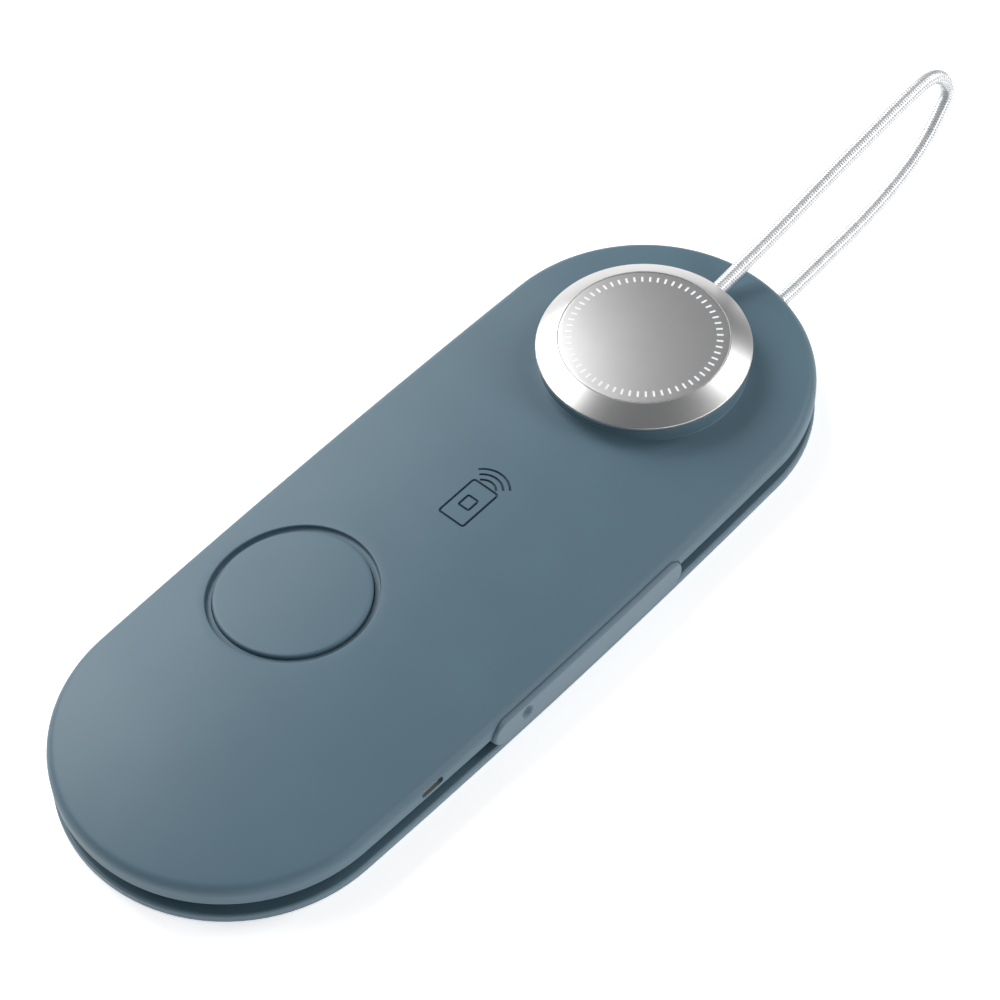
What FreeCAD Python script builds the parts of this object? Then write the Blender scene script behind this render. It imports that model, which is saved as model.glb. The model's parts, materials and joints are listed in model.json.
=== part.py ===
"""Oval luggage tracker tag with a swivel plate, a screw cap and a cable loop.

Millimetres. The origin is on the underside, below the middle of the tag. +X runs along the tag
to the metal cap, +Z is up, and the charging port is on the -Y side.
"""
import FreeCAD
import Part
import math
import os
import Sketcher
from FreeCAD import Placement, Rotation, Vector

# Driving sizes: alias, value, what it is.
SIZES = [
    ("end_x", 34.44, "centre of each round end"),
    ("end_r", 20.47, "radius of each round end"),
    ("half_width", 21.0, "half the width at the middle"),
    ("plate_thick", 1.34, "swivel plate"),
    ("plate_gap", 2.35, "dark gap from the plate to the top shell's edge"),
    ("plate_clear", 0.30, "running gap from the plate to the base shell"),
    ("plate_edge", 0.35, "round on the plate's edges"),
    ("card_recess", 0.40, "depth of the card's recess in the plate"),
    ("card_thick", 0.30, "contact card"),
    ("card_long", 58.0, "contact card, along the tag"),
    ("card_wide", 30.0, "contact card, across the tag"),
    ("card_x", -16.0, "middle of the contact card"),
    ("card_corner", 4.0, "corner radius of the card"),
    ("ridge_z", 8.5, "highest line of the crowned top face"),
    ("crown_r", 88.0, "radius of the crowned top face"),
    ("edge_round", 1.4, "round between the top face and the side"),
    ("roof", 1.3, "wall of the top shell under the crowned face"),
    ("skirt", 2.2, "side wall of the top shell"),
    ("seat_gap", 0.1, "gap between seated mouldings"),
    ("tub_wall", 1.2, "side wall of the base shell"),
    ("tub_floor", 0.8, "floor of the base shell"),
    ("tub_top", 4.6, "top of the base shell's wall"),
    ("gasket_thick", 0.4, "seal between the shells"),
    ("boss_r", 12.4, "round boss below the cap"),
    ("boss_top", 9.6, "top of that boss"),
    ("boss_foot", 5.8, "lower end of that boss inside the shell"),
    ("post_r", 4.0, "hollow post that the plate turns on"),
    ("post_bore", 2.5, "threaded bore of the post, taken plain"),
    ("post_neck", 3.0, "riveted lower end of the post"),
    ("post_floor", 3.2, "bottom of the bore"),
    ("post_foot", 0.2, "lower end of the post"),
    ("flange_r", 6.0, "flange of the post on the base shell's floor"),
    ("flange_thick", 0.6, "thickness of that flange"),
    ("retainer_r", 6.5, "riveted disc below the plate"),
    ("retainer_top", 0.75, "upper face of that disc"),
    ("washer_r", 7.6, "friction washer between the plate and the base shell"),
    ("run_fit", 0.05, "radial gap of turning and sliding fits"),
    ("press_gap", 0.02, "radial gap of fixed fits"),
    ("cap_gap", 0.30, "gap from the boss to the cap"),
    ("cap_r", 12.8, "widest radius of the cap"),
    ("cap_rim", 0.7, "height of the cap's upright rim"),
    ("cap_bevel", 1.5, "height of the cap's sloping ring"),
    ("disc_r", 10.1, "inlaid disc of the cap"),
    ("disc_seat", 0.75, "depth of the disc's seat"),
    ("disc_dome", 0.45, "rise of the disc's dome"),
    ("bezel_lip", 0.14, "flat lip of the cap round its disc"),
    ("bezel_chamfer", 0.3, "chamfer under the cap's rim"),
    ("stud_low", 4.2, "lower end of the cap's stud"),
    ("stud_head", 5.0, "radius of the stud's head"),
    ("stud_head_thick", 1.0, "thickness of the stud's head"),
    ("cap_seal_in", 6.2, "inner radius of the rubber ring under the cap"),
    ("cap_seal_out", 12.0, "outer radius of that ring"),
    ("cap_seal_thick", 0.22, "thickness of that ring"),
    ("button_x", -17.4, "middle of the button, along the tag"),
    ("button_y", 7.3, "middle of the button, across the tag"),
    ("button_r", 9.15, "radius of the button"),
    ("groove_wide", 0.8, "ring groove round the button"),
    ("button_thick", 1.2, "wall of the button"),
    ("groove_deep", 0.6, "depth of the ring groove"),
    ("plunger_r", 1.6, "stub under the button"),
    ("press_play", 0.05, "gap from the stub to the switch"),
    ("board_low", 3.1, "underside of the circuit board"),
    ("board_thick", 0.8, "circuit board"),
    ("board_x0", -30.0, "circuit board's left edge"),
    ("board_x1", -7.0, "circuit board's right edge beside the battery"),
    ("board_x2", 10.5, "circuit board's right edge behind the port"),
    ("board_y0", -16.9, "circuit board's near edge"),
    ("board_y1", -9.4, "far edge of the strip behind the port"),
    ("board_y2", 15.2, "circuit board's far edge"),
    ("board_corner", 2.0, "cut-off corners of the circuit board"),
    ("dome_r", 3.0, "radius of the switch dome"),
    ("dome_rise", 0.8, "height of the switch dome"),
    ("battery_x", 8.3, "middle of the battery"),
    ("battery_y", 3.0, "middle of the battery, across the tag"),
    ("battery_long", 27.0, "battery, along the tag"),
    ("battery_wide", 22.0, "battery, across the tag"),
    ("battery_thick", 3.0, "battery"),
    ("battery_corner", 1.5, "corner radius of the battery"),
    ("plug_long", 3.0, "battery connector, along the tag"),
    ("plug_wide", 4.0, "battery connector, across the tag"),
    ("plug_tall", 1.2, "battery connector"),
    ("plug_edge", 0.4, "from the board's edge to the battery connector"),
    ("wire_r", 0.45, "radius of each battery lead"),
    ("wires_y", -4.0, "middle of the battery leads, across the tag"),
    ("wire_apart", 2.0, "distance between the battery leads"),
    ("pad_thick", 0.3, "foam pad under the battery"),
    ("pad_edge", 1.0, "from the battery's edge to the pad's"),
    ("coil_long", 22.0, "short-range radio coil, along the tag"),
    ("coil_wide", 15.0, "short-range radio coil, across the tag"),
    ("coil_band", 3.0, "width of the coil's winding"),
    ("coil_y", 2.0, "middle of the coil, across the tag"),
    ("sheet_thick", 0.2, "ferrite sheet, and the coil on it"),
    ("sounder_x", -40.0, "middle of the sounder"),
    ("sounder_r", 8.0, "brass plate of the sounder"),
    ("sounder_seat", 4.0, "height of the sounder's seat"),
    ("brass_thick", 0.3, "brass plate of the sounder"),
    ("ceramic_r", 5.6, "ceramic of the sounder"),
    ("ceramic_thick", 0.25, "ceramic of the sounder"),
    ("slot_x", -24.65, "middle of the sound slot"),
    ("slot_long", 3.3, "sound slot"),
    ("slot_tall", 1.0, "sound slot"),
    ("slot_z", 4.8, "middle height of the sound slot"),
    ("mesh_thick", 0.2, "mesh in the sound slot"),
    ("mesh_back", 0.65, "from the widest line of the wall back to that mesh"),
    ("rib_wall", 1.0, "wall of the ring under the sounder"),
    ("rib_sunk", 0.4, "how far that ring starts above the base shell's underside"),
    ("flap_x0", -15.3, "free end of the port flap"),
    ("flap_x1", 16.5, "anchored end of the port flap"),
    ("flap_z0", 1.7, "lower edge of the port flap"),
    ("flap_z1", 5.5, "upper edge of the port flap"),
    ("flap_thick", 1.75, "port flap, at its ends"),
    ("flap_bulge", 0.5, "how far the flap bulges at its middle"),
    ("flap_hinge", 12.0, "line where the flap bends"),
    ("dimple_x", -10.1, "middle of the flap's pull dimple"),
    ("dimple_z", 3.9, "height of that dimple"),
    ("dimple_r", 0.75, "radius of that dimple"),
    ("dimple_deep", 0.5, "depth of that dimple below the wall's face"),
    ("stem_x", 14.3, "stem that anchors the flap"),
    ("stem_r", 0.8, "radius of that stem"),
    ("stem_root", 0.4, "overlap of that stem with the flap"),
    ("stem_past", 0.2, "how far the stem runs past the block behind it"),
    ("anchor_head_r", 1.04, "radius of the head that holds the stem"),
    ("anchor_head", 0.5, "thickness of that head"),
    ("port_x", 0.6, "middle of the charging socket"),
    ("port_wide", 8.94, "charging socket, outside"),
    ("port_tall", 3.16, "charging socket, outside"),
    ("port_deep", 7.3, "charging socket"),
    ("port_shell", 0.3, "sheet metal of the charging socket"),
    ("plug_deep", 1.2, "how far the flap's plug enters the socket"),
    ("plug_side", 0.5, "side play of the flap's plug"),
    ("plug_play", 0.3, "play of that plug above and below"),
    ("plug_root", 0.5, "overlap of that plug with the flap"),
    ("socket_back", 1.2, "closed back of the charging socket"),
    ("tongue_wide", 6.7, "tongue of the charging socket"),
    ("tongue_thick", 0.7, "tongue of the charging socket"),
    ("tongue_back", 1.7, "from the socket's mouth to its tongue"),
    ("screw_x0", -43.0, "screws at the button end"),
    ("screw_y0", 11.0, "screws at the button end"),
    ("screw_x1", 24.0, "screws at the cap end"),
    ("screw_y1", 14.6, "screws at the cap end"),
    ("screw_head_r", 1.4, "screw head"),
    ("screw_head", 0.8, "height of the screw head"),
    ("screw_r", 0.7, "screw shank"),
    ("screw_long", 3.4, "screw shank"),
    ("screw_post", 2.3, "radius of each screw's post"),
    ("screw_post_tall", 2.8, "height of each screw's post in the top shell"),
    ("rest_r", 1.5, "radius of the posts under the circuit board"),
    ("cable_d", 1.8, "braided cable"),
    ("ferrule_r", 1.2, "sleeve crimped on each end of the cable"),
    ("ferrule_long", 4.0, "that sleeve"),
    ("upper_end_x", 43.6, "where the cable leaves its upper sleeve"),
    ("upper_end_z", 8.35, "height of the upper sleeve"),
    ("lower_end_x", 50.4, "where the cable leaves its lower sleeve"),
    ("lower_end_y", -3.6, "lower sleeve, across the tag"),
    ("lower_end_z", 2.85, "height of the lower sleeve"),
    ("notch_past", 1.5, "how far the cable's notch runs past the collar"),
    ("block_side", 3.0, "half the width of the block round the lower sleeve"),
    ("block_past", 1.5, "how far that block reaches behind the sleeve"),
]

# Chips on the circuit board: name, place from its corner along and across, length, width and height.
CHIPS = [
    ("radio_shield", 4.0, 4.5, 9.0, 8.0, 1.2),
    ("antenna_chip", 0.6, 20.0, 1.6, 5.0, 0.8),
    ("motion_sensor", 15.0, 5.0, 2.5, 2.5, 0.9),
]

# The cable's route between its two sleeves. The first and last points are the sleeves' mouths.
CABLE_ROUTE = [
    (43.6, 0.0, 8.35),
    (48.6, 0.0, 8.9),
    (57.5, 0.0, 9.8),
    (68.5, 0.0, 11.6),
    (78.5, 0.0, 12.9),
    (84.8, 0.0, 13.7),
    (88.5, -0.1, 13.95),
    (90.5, -0.7, 13.0),
    (90.7, -1.7, 10.9),
    (88.3, -2.2, 9.4),
    (84.7, -2.9, 7.55),
    (79.8, -3.4, 5.85),
    (71.9, -3.7, 4.25),
    (62.5, -3.6, 3.25),
    (55.4, -3.6, 2.6),
    (50.4, -3.6, 2.85),
]

doc = FreeCAD.newDocument("tracker_tag")
sheet = doc.addObject("Spreadsheet::Sheet", "sizes")


class Length:
    """A size that carries both its number and its expression on the sheet."""

    def __init__(self, value, text=None):
        self.value = float(value)
        self.text = text if text else repr(float(value))

    def _join(self, other, sign, value):
        return Length(value, "(%s %s %s)" % (self.text, sign, other.text))

    def __add__(self, other):
        other = as_length(other)
        return self._join(other, "+", self.value + other.value)

    def __sub__(self, other):
        other = as_length(other)
        return self._join(other, "-", self.value - other.value)

    def __mul__(self, other):
        other = as_length(other)
        return self._join(other, "*", self.value * other.value)

    def __truediv__(self, other):
        other = as_length(other)
        return self._join(other, "/", self.value / other.value)

    def __neg__(self):
        return Length(0) - self

    __radd__ = __add__
    __rmul__ = __mul__

    def __rsub__(self, other):
        return as_length(other) - self


def as_length(value):
    return value if isinstance(value, Length) else Length(value)


class Sizes:
    """The driving sizes as attributes, each bound to its cell."""


size = Sizes()
for row, (alias, value, note) in enumerate(SIZES, start=1):
    sheet.set("A%d" % row, alias)
    sheet.set("B%d" % row, repr(value))
    sheet.set("C%d" % row, note)
    sheet.setAlias("B%d" % row, alias)
    setattr(size, alias, Length(value, "sizes." + alias))
doc.recompute()

# Levels and places that follow from the sizes.
shell_low = size.plate_thick + size.plate_gap
tub_low = size.plate_thick + size.plate_clear
tub_inside = tub_low + size.tub_floor
tub_inset = size.skirt + size.seat_gap
board_top = size.board_low + size.board_thick
cap_low = size.boss_top + size.cap_gap
cap_top = cap_low + size.cap_rim + size.cap_bevel
crown_centre = size.ridge_z - size.crown_r
side_r = (size.end_x * size.end_x + size.half_width * size.half_width
          - size.end_r * size.end_r) / (2 * (size.half_width - size.end_r))
side_centre = side_r - size.half_width
flap_face = -size.half_width
flap_back = flap_face + size.flap_thick
flap_mid_z = (size.flap_z0 + size.flap_z1) / 2
OVER = 1.0  # how far a cutting tool runs past the face it cuts

TURN_TO_X = Rotation(Vector(0, 0, -1), Vector(0, 1, 0), Vector(1, 0, 0), "ZXY")
TURN_TO_Y = Rotation(Vector(1, 0, 0), Vector(0, 0, -1), Vector(0, 1, 0), "ZXY")
NO_TURN = Rotation()


def bind(item, **values):
    """Bind properties to lengths, as expressions on the sheet."""
    for name, value in values.items():
        item.setExpression(name, as_length(value).text)
    return item


def place(item, at, turn=NO_TURN):
    """Bind an object's place to three lengths."""
    item.Placement = Placement(Vector(*[as_length(v).value for v in at]), turn)
    for axis, value in zip("xyz", at):
        item.setExpression("Placement.Base." + axis, as_length(value).text)
    return item


def box(name, low, high):
    """A box between two corners."""
    item = doc.addObject("Part::Box", name)
    spans = [as_length(b) - as_length(a) for a, b in zip(low, high)]
    bind(item, Length=spans[0], Width=spans[1], Height=spans[2])
    return place(item, low)


def cylinder(name, radius, length, at, turn=NO_TURN):
    """A cylinder from a point along +Z, or along the axis that the turn gives."""
    item = doc.addObject("Part::Cylinder", name)
    bind(item, Radius=radius, Height=length)
    return place(item, at, turn)


def sphere(name, radius, at, turn=NO_TURN):
    item = doc.addObject("Part::Sphere", name)
    bind(item, Radius=radius)
    return place(item, at, turn)


def fuse(name, parts):
    item = doc.addObject("Part::MultiFuse", name)
    item.Shapes = parts
    return item


def common(name, first, second):
    item = doc.addObject("Part::Common", name)
    item.Base = first
    item.Tool = second
    return item


def cut(name, base, tools):
    item = doc.addObject("Part::Cut", name)
    item.Base = base
    item.Tool = tools[0] if len(tools) == 1 else fuse(name + "_tools", tools)
    return item


def origin_plane(body, role):
    """One of the body's own origin planes."""
    return next(f for f in body.Origin.OriginFeatures if f.Role == role)


def new_sketch(body, name, role):
    sketch = body.newObject("Sketcher::SketchObject", name)
    sketch.AttachmentSupport = (origin_plane(body, role), [""])
    sketch.MapMode = "FlatFace"
    return sketch


def datum(sketch, constraint, length):
    """Add a dimension and bind it to a length."""
    index = sketch.addConstraint(constraint)
    sketch.setExpression("Constraints[%d]" % index, length.text)


def polygon_sketch(body, name, role, points):
    """A closed outline of straight edges whose corners are bound to lengths."""
    sketch = new_sketch(body, name, role)
    corners = [(as_length(a), as_length(b)) for a, b in points]
    vectors = [Vector(a.value, b.value, 0) for a, b in corners]
    count = len(vectors)
    lines = [Part.LineSegment(vectors[i], vectors[(i + 1) % count]) for i in range(count)]
    sketch.addGeometry(lines, False)
    for i in range(count):
        sketch.addConstraint(Sketcher.Constraint("Coincident", i, 2, (i + 1) % count, 1))
    for i, (a, b) in enumerate(corners):
        datum(sketch, Sketcher.Constraint("DistanceX", -1, 1, i, 1, a.value), a)
        datum(sketch, Sketcher.Constraint("DistanceY", -1, 1, i, 1, b.value), b)
    return sketch


def turned_body(name, points, at):
    """A solid turned about Z from a half section given as radius and height."""
    body = doc.addObject("PartDesign::Body", name)
    sketch = polygon_sketch(body, name + "_section", "XZ_Plane", points)
    turned = body.newObject("PartDesign::Revolution", name + "_turned")
    turned.Profile = sketch
    turned.ReferenceAxis = (sketch, ["V_Axis"])
    turned.Angle = 360
    return place(body, at)


def padded_body(name, points, low, height, corner=None):
    """A flat piece of straight-edged outline, with its upright edges rounded if asked."""
    body = doc.addObject("PartDesign::Body", name)
    sketch = polygon_sketch(body, name + "_outline", "XY_Plane", points)
    pad = body.newObject("PartDesign::Pad", name + "_raised")
    pad.Profile = sketch
    bind(pad, Length=height)
    place(body, (0, 0, low))
    if corner is not None:
        doc.recompute()
        upright = ["Edge%d" % i for i, edge in enumerate(pad.Shape.Edges, start=1)
                   if edge.BoundBox.XLength < 1e-6 and edge.BoundBox.YLength < 1e-6]
        rounded = body.newObject("PartDesign::Fillet", name + "_corners")
        rounded.Base = (pad, upright)
        bind(rounded, Radius=corner)
    return body


def rectangle(x0, x1, y0, y1):
    return [(x0, y0), (x1, y0), (x1, y1), (x0, y1)]


def oval_body(name, inset, low, high):
    """The tag's outline, moved inwards by the inset and padded between two levels.

    The outline is two end arcs joined by two long, slightly bowed side arcs, all tangent.
    """
    inset = as_length(inset)
    body = doc.addObject("PartDesign::Body", name)
    sketch = new_sketch(body, name + "_outline", "XY_Plane")
    lean = math.atan2(side_centre.value, size.end_x.value)
    up = Vector(0, 0, 1)
    end_radius = size.end_r.value - inset.value
    side_radius = side_r.value - inset.value
    arcs = [
        (size.end_x.value, 0, end_radius, -lean, lean),
        (0, -side_centre.value, side_radius, lean, math.pi - lean),
        (-size.end_x.value, 0, end_radius, math.pi - lean, math.pi + lean),
        (0, side_centre.value, side_radius, math.pi + lean, 2 * math.pi - lean),
    ]
    for x, y, radius, start, stop in arcs:
        circle = Part.Circle(Vector(x, y, 0), up, radius)
        sketch.addGeometry(Part.ArcOfCircle(circle, start, stop), False)
    for i in range(4):
        sketch.addConstraint(Sketcher.Constraint("Tangent", i, 2, (i + 1) % 4, 1))
    for arc, sign in ((0, 1), (2, -1)):
        sketch.addConstraint(Sketcher.Constraint("PointOnObject", arc, 3, -1))
        where = size.end_x * sign
        datum(sketch, Sketcher.Constraint("DistanceX", -1, 1, arc, 3, where.value), where)
        datum(sketch, Sketcher.Constraint("Radius", arc, end_radius), size.end_r - inset)
    for arc, sign in ((1, -1), (3, 1)):
        where = side_centre * sign
        datum(sketch, Sketcher.Constraint("DistanceY", -1, 1, arc, 3, where.value), where)
    pad = body.newObject("PartDesign::Pad", name + "_raised")
    pad.Profile = sketch
    bind(pad, Length=as_length(high) - low)
    return place(body, (0, 0, low))


def crown(name, drop, inset=0):
    """The crowned top face's solid, a long round-ended barrel, sunk by the drop.

    Its round ends begin where the end arcs of the outline, moved in by the inset, meet the sides.
    """
    radius = size.crown_r - drop
    reach = size.end_x + (size.end_r - inset) * size.end_x / (side_r - size.end_r)
    barrel = cylinder(name + "_barrel", radius, 2 * reach, (-reach, 0, crown_centre), TURN_TO_X)
    left = sphere(name + "_left", radius, (-reach, 0, crown_centre), TURN_TO_X)
    right = sphere(name + "_right", radius, (reach, 0, crown_centre), TURN_TO_X)
    return fuse(name, [barrel, left, right])


def stadium(name, x0, x1, z0, z1, y0, y1):
    """A round-ended bar along X, extruded along Y."""
    radius = (z1 - z0) / 2
    middle = (z0 + z1) / 2
    parts = [box(name + "_bar", (x0 + radius, y0, z0), (x1 - radius, y1, z1))]
    for tag, x in (("_a", x0 + radius), ("_b", x1 - radius)):
        parts.append(cylinder(name + tag, radius, as_length(y1) - y0, (x, y0, middle), TURN_TO_Y))
    return fuse(name, parts)


def inset_of(point):
    """How far a point lies inside the tag's outline, in plan."""
    x = abs(point.x)
    y = abs(point.y)
    on_end = math.hypot(x - size.end_x.value, y)
    on_side = math.hypot(x, y + side_centre.value)
    return min(size.end_r.value - on_end if x > size.end_x.value else 1e9,
               side_r.value - on_side)


def round_rim(name, base, radius, low):
    """Round the edges of the outer wall that lie above a level."""
    doc.recompute()
    chosen = []
    for index, edge in enumerate(base.Shape.Edges, start=1):
        first, last = edge.ParameterRange
        middle = edge.valueAt((first + last) / 2)
        flat = math.hypot(edge.BoundBox.XLength, edge.BoundBox.YLength)
        if middle.z > low and flat > 0.2 and abs(inset_of(middle)) < 0.02:
            chosen.append((index, radius.value, radius.value))
    item = doc.addObject("Part::Fillet", name)
    item.Base = base
    item.Edges = chosen
    return item


def screw_places():
    return [(size.screw_x0, size.screw_y0), (size.screw_x0, -size.screw_y0),
            (size.screw_x1, size.screw_y1), (size.screw_x1, -size.screw_y1)]


def make_plate():
    """The lower plate with its card recess, pivot hole and counterbore."""
    blank = oval_body("plate_blank", 0, 0, size.plate_thick)
    doc.recompute()
    pad = blank.Tip
    rim = ["Edge%d" % i for i, edge in enumerate(pad.Shape.Edges, start=1)
           if edge.BoundBox.ZLength < 1e-6]
    rounded = blank.newObject("PartDesign::Fillet", "plate_rounding")
    rounded.Base = (pad, rim)
    bind(rounded, Radius=size.plate_edge)
    hole = cylinder("plate_hole", size.post_r + size.run_fit, size.plate_thick + 2 * OVER,
                    (size.end_x, 0, -OVER))
    bore = cylinder("plate_counterbore", size.retainer_r + 2 * size.seat_gap,
                    size.retainer_top + size.run_fit + OVER, (size.end_x, 0, -OVER))
    edge = size.seat_gap
    recess = padded_body("plate_recess", rectangle(
        size.card_x - size.card_long / 2 - edge, size.card_x + size.card_long / 2 + edge,
        -size.card_wide / 2 - edge, size.card_wide / 2 + edge),
        size.plate_thick - size.card_recess, size.card_recess + OVER, size.card_corner)
    return cut("swivel_plate", blank, [hole, bore, recess])


def make_card():
    return padded_body("contact_card", rectangle(
        size.card_x - size.card_long / 2, size.card_x + size.card_long / 2,
        -size.card_wide / 2, size.card_wide / 2),
        size.plate_thick - size.card_recess, size.card_thick, size.card_corner)


def make_pivot():
    """The hollow post, its riveted disc and the washer that the plate turns against."""
    flange_low = tub_inside
    post = turned_body("pivot_post", [
        (0, size.post_foot), (size.post_neck, size.post_foot), (size.post_neck, size.retainer_top),
        (size.post_r, size.retainer_top), (size.post_r, flange_low), (size.flange_r, flange_low),
        (size.flange_r, flange_low + size.flange_thick), (size.post_r, flange_low + size.flange_thick),
        (size.post_r, size.boss_top - size.seat_gap), (size.post_bore, size.boss_top - size.seat_gap),
        (size.post_bore, size.post_floor), (0, size.post_floor)], (size.end_x, 0, 0))
    disc = turned_body("post_retainer", [
        (size.post_neck + size.press_gap, size.post_foot), (size.retainer_r, size.post_foot),
        (size.retainer_r, size.retainer_top), (size.post_neck + size.press_gap, size.retainer_top)],
        (size.end_x, 0, 0))
    washer = turned_body("friction_washer", [
        (size.post_r + size.run_fit, size.plate_thick), (size.washer_r, size.plate_thick),
        (size.washer_r, tub_low), (size.post_r + size.run_fit, tub_low)], (size.end_x, 0, 0))
    return [post, disc, washer]


def make_base():
    """The base shell: a tub with the port's block, the cable's block and the screw posts."""
    tub = cut("tub", oval_body("tub_outside", tub_inset, tub_low, size.tub_top),
              [oval_body("tub_hollow", tub_inset + size.tub_wall, tub_inside, size.tub_top + OVER)])
    inner_wall = -size.half_width + tub_inset + size.tub_wall
    port_block = stadium("port_block", size.flap_x0, size.flap_x1, size.flap_z0, size.flap_z1,
                         flap_back + size.press_gap, inner_wall)
    cable_block = box("cable_block",
                      (size.lower_end_x - size.ferrule_long - size.block_past,
                       size.lower_end_y - size.block_side, tub_low),
                      (size.end_x + size.end_r - tub_inset - size.tub_wall,
                       size.lower_end_y + size.block_side, size.tub_top))
    rib = cut("sounder_rib", cylinder("rib_outside", size.sounder_r,
                                      size.sounder_seat - tub_low - size.rib_sunk,
                                      (size.sounder_x, 0, tub_low + size.rib_sunk)),
              [cylinder("rib_inside", size.sounder_r - size.rib_wall, size.sounder_seat,
                        (size.sounder_x, 0, tub_inside))])
    posts = []
    cuts = []
    screw_top = shell_low + size.seat_gap
    for number, (x, y) in enumerate(screw_places(), start=1):
        posts.append(cylinder("tub_post_%d" % number, size.screw_post, screw_top - tub_low,
                              (x, y, tub_low)))
        cuts.append(cylinder("tub_head_%d" % number, size.screw_head_r + size.seat_gap,
                             size.screw_head + size.seat_gap + OVER, (x, y, tub_low - OVER)))
        cuts.append(cylinder("tub_shank_%d" % number, size.screw_r + size.seat_gap,
                             size.tub_top, (x, y, tub_low)))
    for number, (x, y) in enumerate([(size.board_x0 + 2, size.board_y2 - 3),
                                     (size.board_x1 - 2, size.board_y2 - 2),
                                     (size.board_x0 + 2, size.board_y0 + 4),
                                     (size.board_x2 - 2, size.board_y1 - 2)], start=1):
        posts.append(cylinder("board_rest_%d" % number, size.rest_r, size.board_low - tub_low,
                              (x, y, tub_low)))
    body = fuse("tub_parts", [tub, port_block, cable_block, rib] + posts)
    cuts.append(cylinder("tub_post_hole", size.post_r + size.press_gap, size.tub_top,
                         (size.end_x, 0, tub_low - OVER)))
    cuts.append(stadium("tub_port", size.port_x - size.port_wide / 2 - size.press_gap,
                        size.port_x + size.port_wide / 2 + size.press_gap,
                        flap_mid_z - size.port_tall / 2 - size.press_gap,
                        flap_mid_z + size.port_tall / 2 + size.press_gap,
                        flap_back - OVER, flap_back + size.port_deep + size.seat_gap))
    cuts.append(cylinder("tub_stem_hole", size.stem_r + size.press_gap, size.flap_thick + 2 * OVER,
                         (size.stem_x, flap_back - OVER, flap_mid_z), TURN_TO_Y))
    cuts.append(box("tub_cable_way",
                    (size.lower_end_x - size.ferrule_long - size.seat_gap,
                     size.lower_end_y - size.ferrule_r - size.seat_gap, tub_low - OVER),
                    (size.end_x + size.end_r, size.lower_end_y + size.ferrule_r + size.seat_gap,
                     size.lower_end_z + size.ferrule_r + size.seat_gap)))
    sound_y = -size.half_width + tub_inset
    cuts.append(box("tub_sound_way",
                    (size.slot_x - size.slot_long / 2, sound_y - OVER, size.slot_z - 1),
                    (size.slot_x + size.slot_long / 2, sound_y + size.tub_wall + OVER,
                     size.tub_top + OVER)))
    return cut("base_shell", body, cuts)


def make_gasket():
    """The seal on the tub's wall, left out where the port's block stands."""
    inset = tub_inset + size.press_gap
    ring = cut("gasket_ring", oval_body("gasket_outside", inset, size.tub_top,
                                        size.tub_top + size.gasket_thick),
               [oval_body("gasket_inside", tub_inset + size.tub_wall - size.seat_gap,
                          size.tub_top - OVER, size.tub_top + OVER)])
    port = box("gasket_port_gap", (size.flap_x0 - size.seat_gap, -size.half_width, size.tub_top - OVER),
               (size.flap_x1 + size.seat_gap, -size.half_width / 2, size.tub_top + OVER))
    sound = box("gasket_sound_gap",
                (size.slot_x - size.slot_long / 2, -size.half_width, size.tub_top - OVER),
                (size.slot_x + size.slot_long / 2, -size.half_width / 2, size.tub_top + OVER))
    return cut("shell_gasket", ring, [port, sound])


def make_top():
    """The crowned top shell with its openings."""
    blank = common("top_blank", oval_body("top_outside", 0, shell_low, size.ridge_z + OVER),
                   crown("top_crown", 0))
    rounded = round_rim("top_rounded", blank, size.edge_round, shell_low.value + 1)
    cavity = common("top_cavity", oval_body("top_hollow", size.skirt, shell_low - OVER,
                                            size.ridge_z + OVER), crown("top_roof", size.roof, size.skirt))
    hollow = cut("top_shell_wall", rounded, [cavity])
    adds = [hollow, cylinder("cap_boss", size.boss_r, size.boss_top - size.boss_foot,
                             (size.end_x, 0, size.boss_foot))]
    cuts = [cylinder("boss_post_hole", size.post_r + size.seat_gap, size.boss_top,
                     (size.end_x, 0, shell_low)),
            cylinder("button_hole", size.button_r + size.groove_wide, size.ridge_z,
                     (size.button_x, size.button_y, shell_low))]
    post_low = shell_low + 2 * size.seat_gap
    for number, (x, y) in enumerate(screw_places(), start=1):
        adds.append(cylinder("shell_post_%d" % number, size.screw_post, size.screw_post_tall,
                             (x, y, post_low)))
        cuts.append(cylinder("shell_pilot_%d" % number, size.screw_r + size.press_gap,
                             size.screw_long - size.seat_gap * 4, (x, y, post_low - size.seat_gap)))
    cuts.append(box("ferrule_pocket",
                    (size.upper_end_x - size.ferrule_long - size.seat_gap, -size.ferrule_r - size.seat_gap,
                     size.upper_end_z - size.ferrule_r - size.seat_gap),
                    (size.upper_end_x + size.seat_gap, size.ferrule_r + size.seat_gap, size.boss_top + OVER)))
    half = size.cable_d / 2 + size.seat_gap
    cuts.append(box("cable_notch", (size.upper_end_x, -half, size.upper_end_z - half),
                    (size.end_x + size.boss_r + size.notch_past, half, size.boss_top + OVER)))
    cuts.append(stadium("flap_niche", size.flap_x0 - size.seat_gap, size.flap_x1 + size.seat_gap,
                        size.flap_z0 - size.seat_gap, size.flap_z1 + size.seat_gap,
                        -size.half_width - OVER, -size.half_width + tub_inset + size.tub_wall))
    sound_y = -size.half_width - OVER
    cuts.append(box("sound_slot", (size.slot_x - size.slot_long / 2, sound_y,
                                   size.slot_z - size.slot_tall / 2),
                    (size.slot_x + size.slot_long / 2, sound_y + size.skirt + 2 * OVER,
                     size.slot_z + size.slot_tall / 2)))
    return cut("top_shell", fuse("top_parts", adds), cuts)


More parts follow.
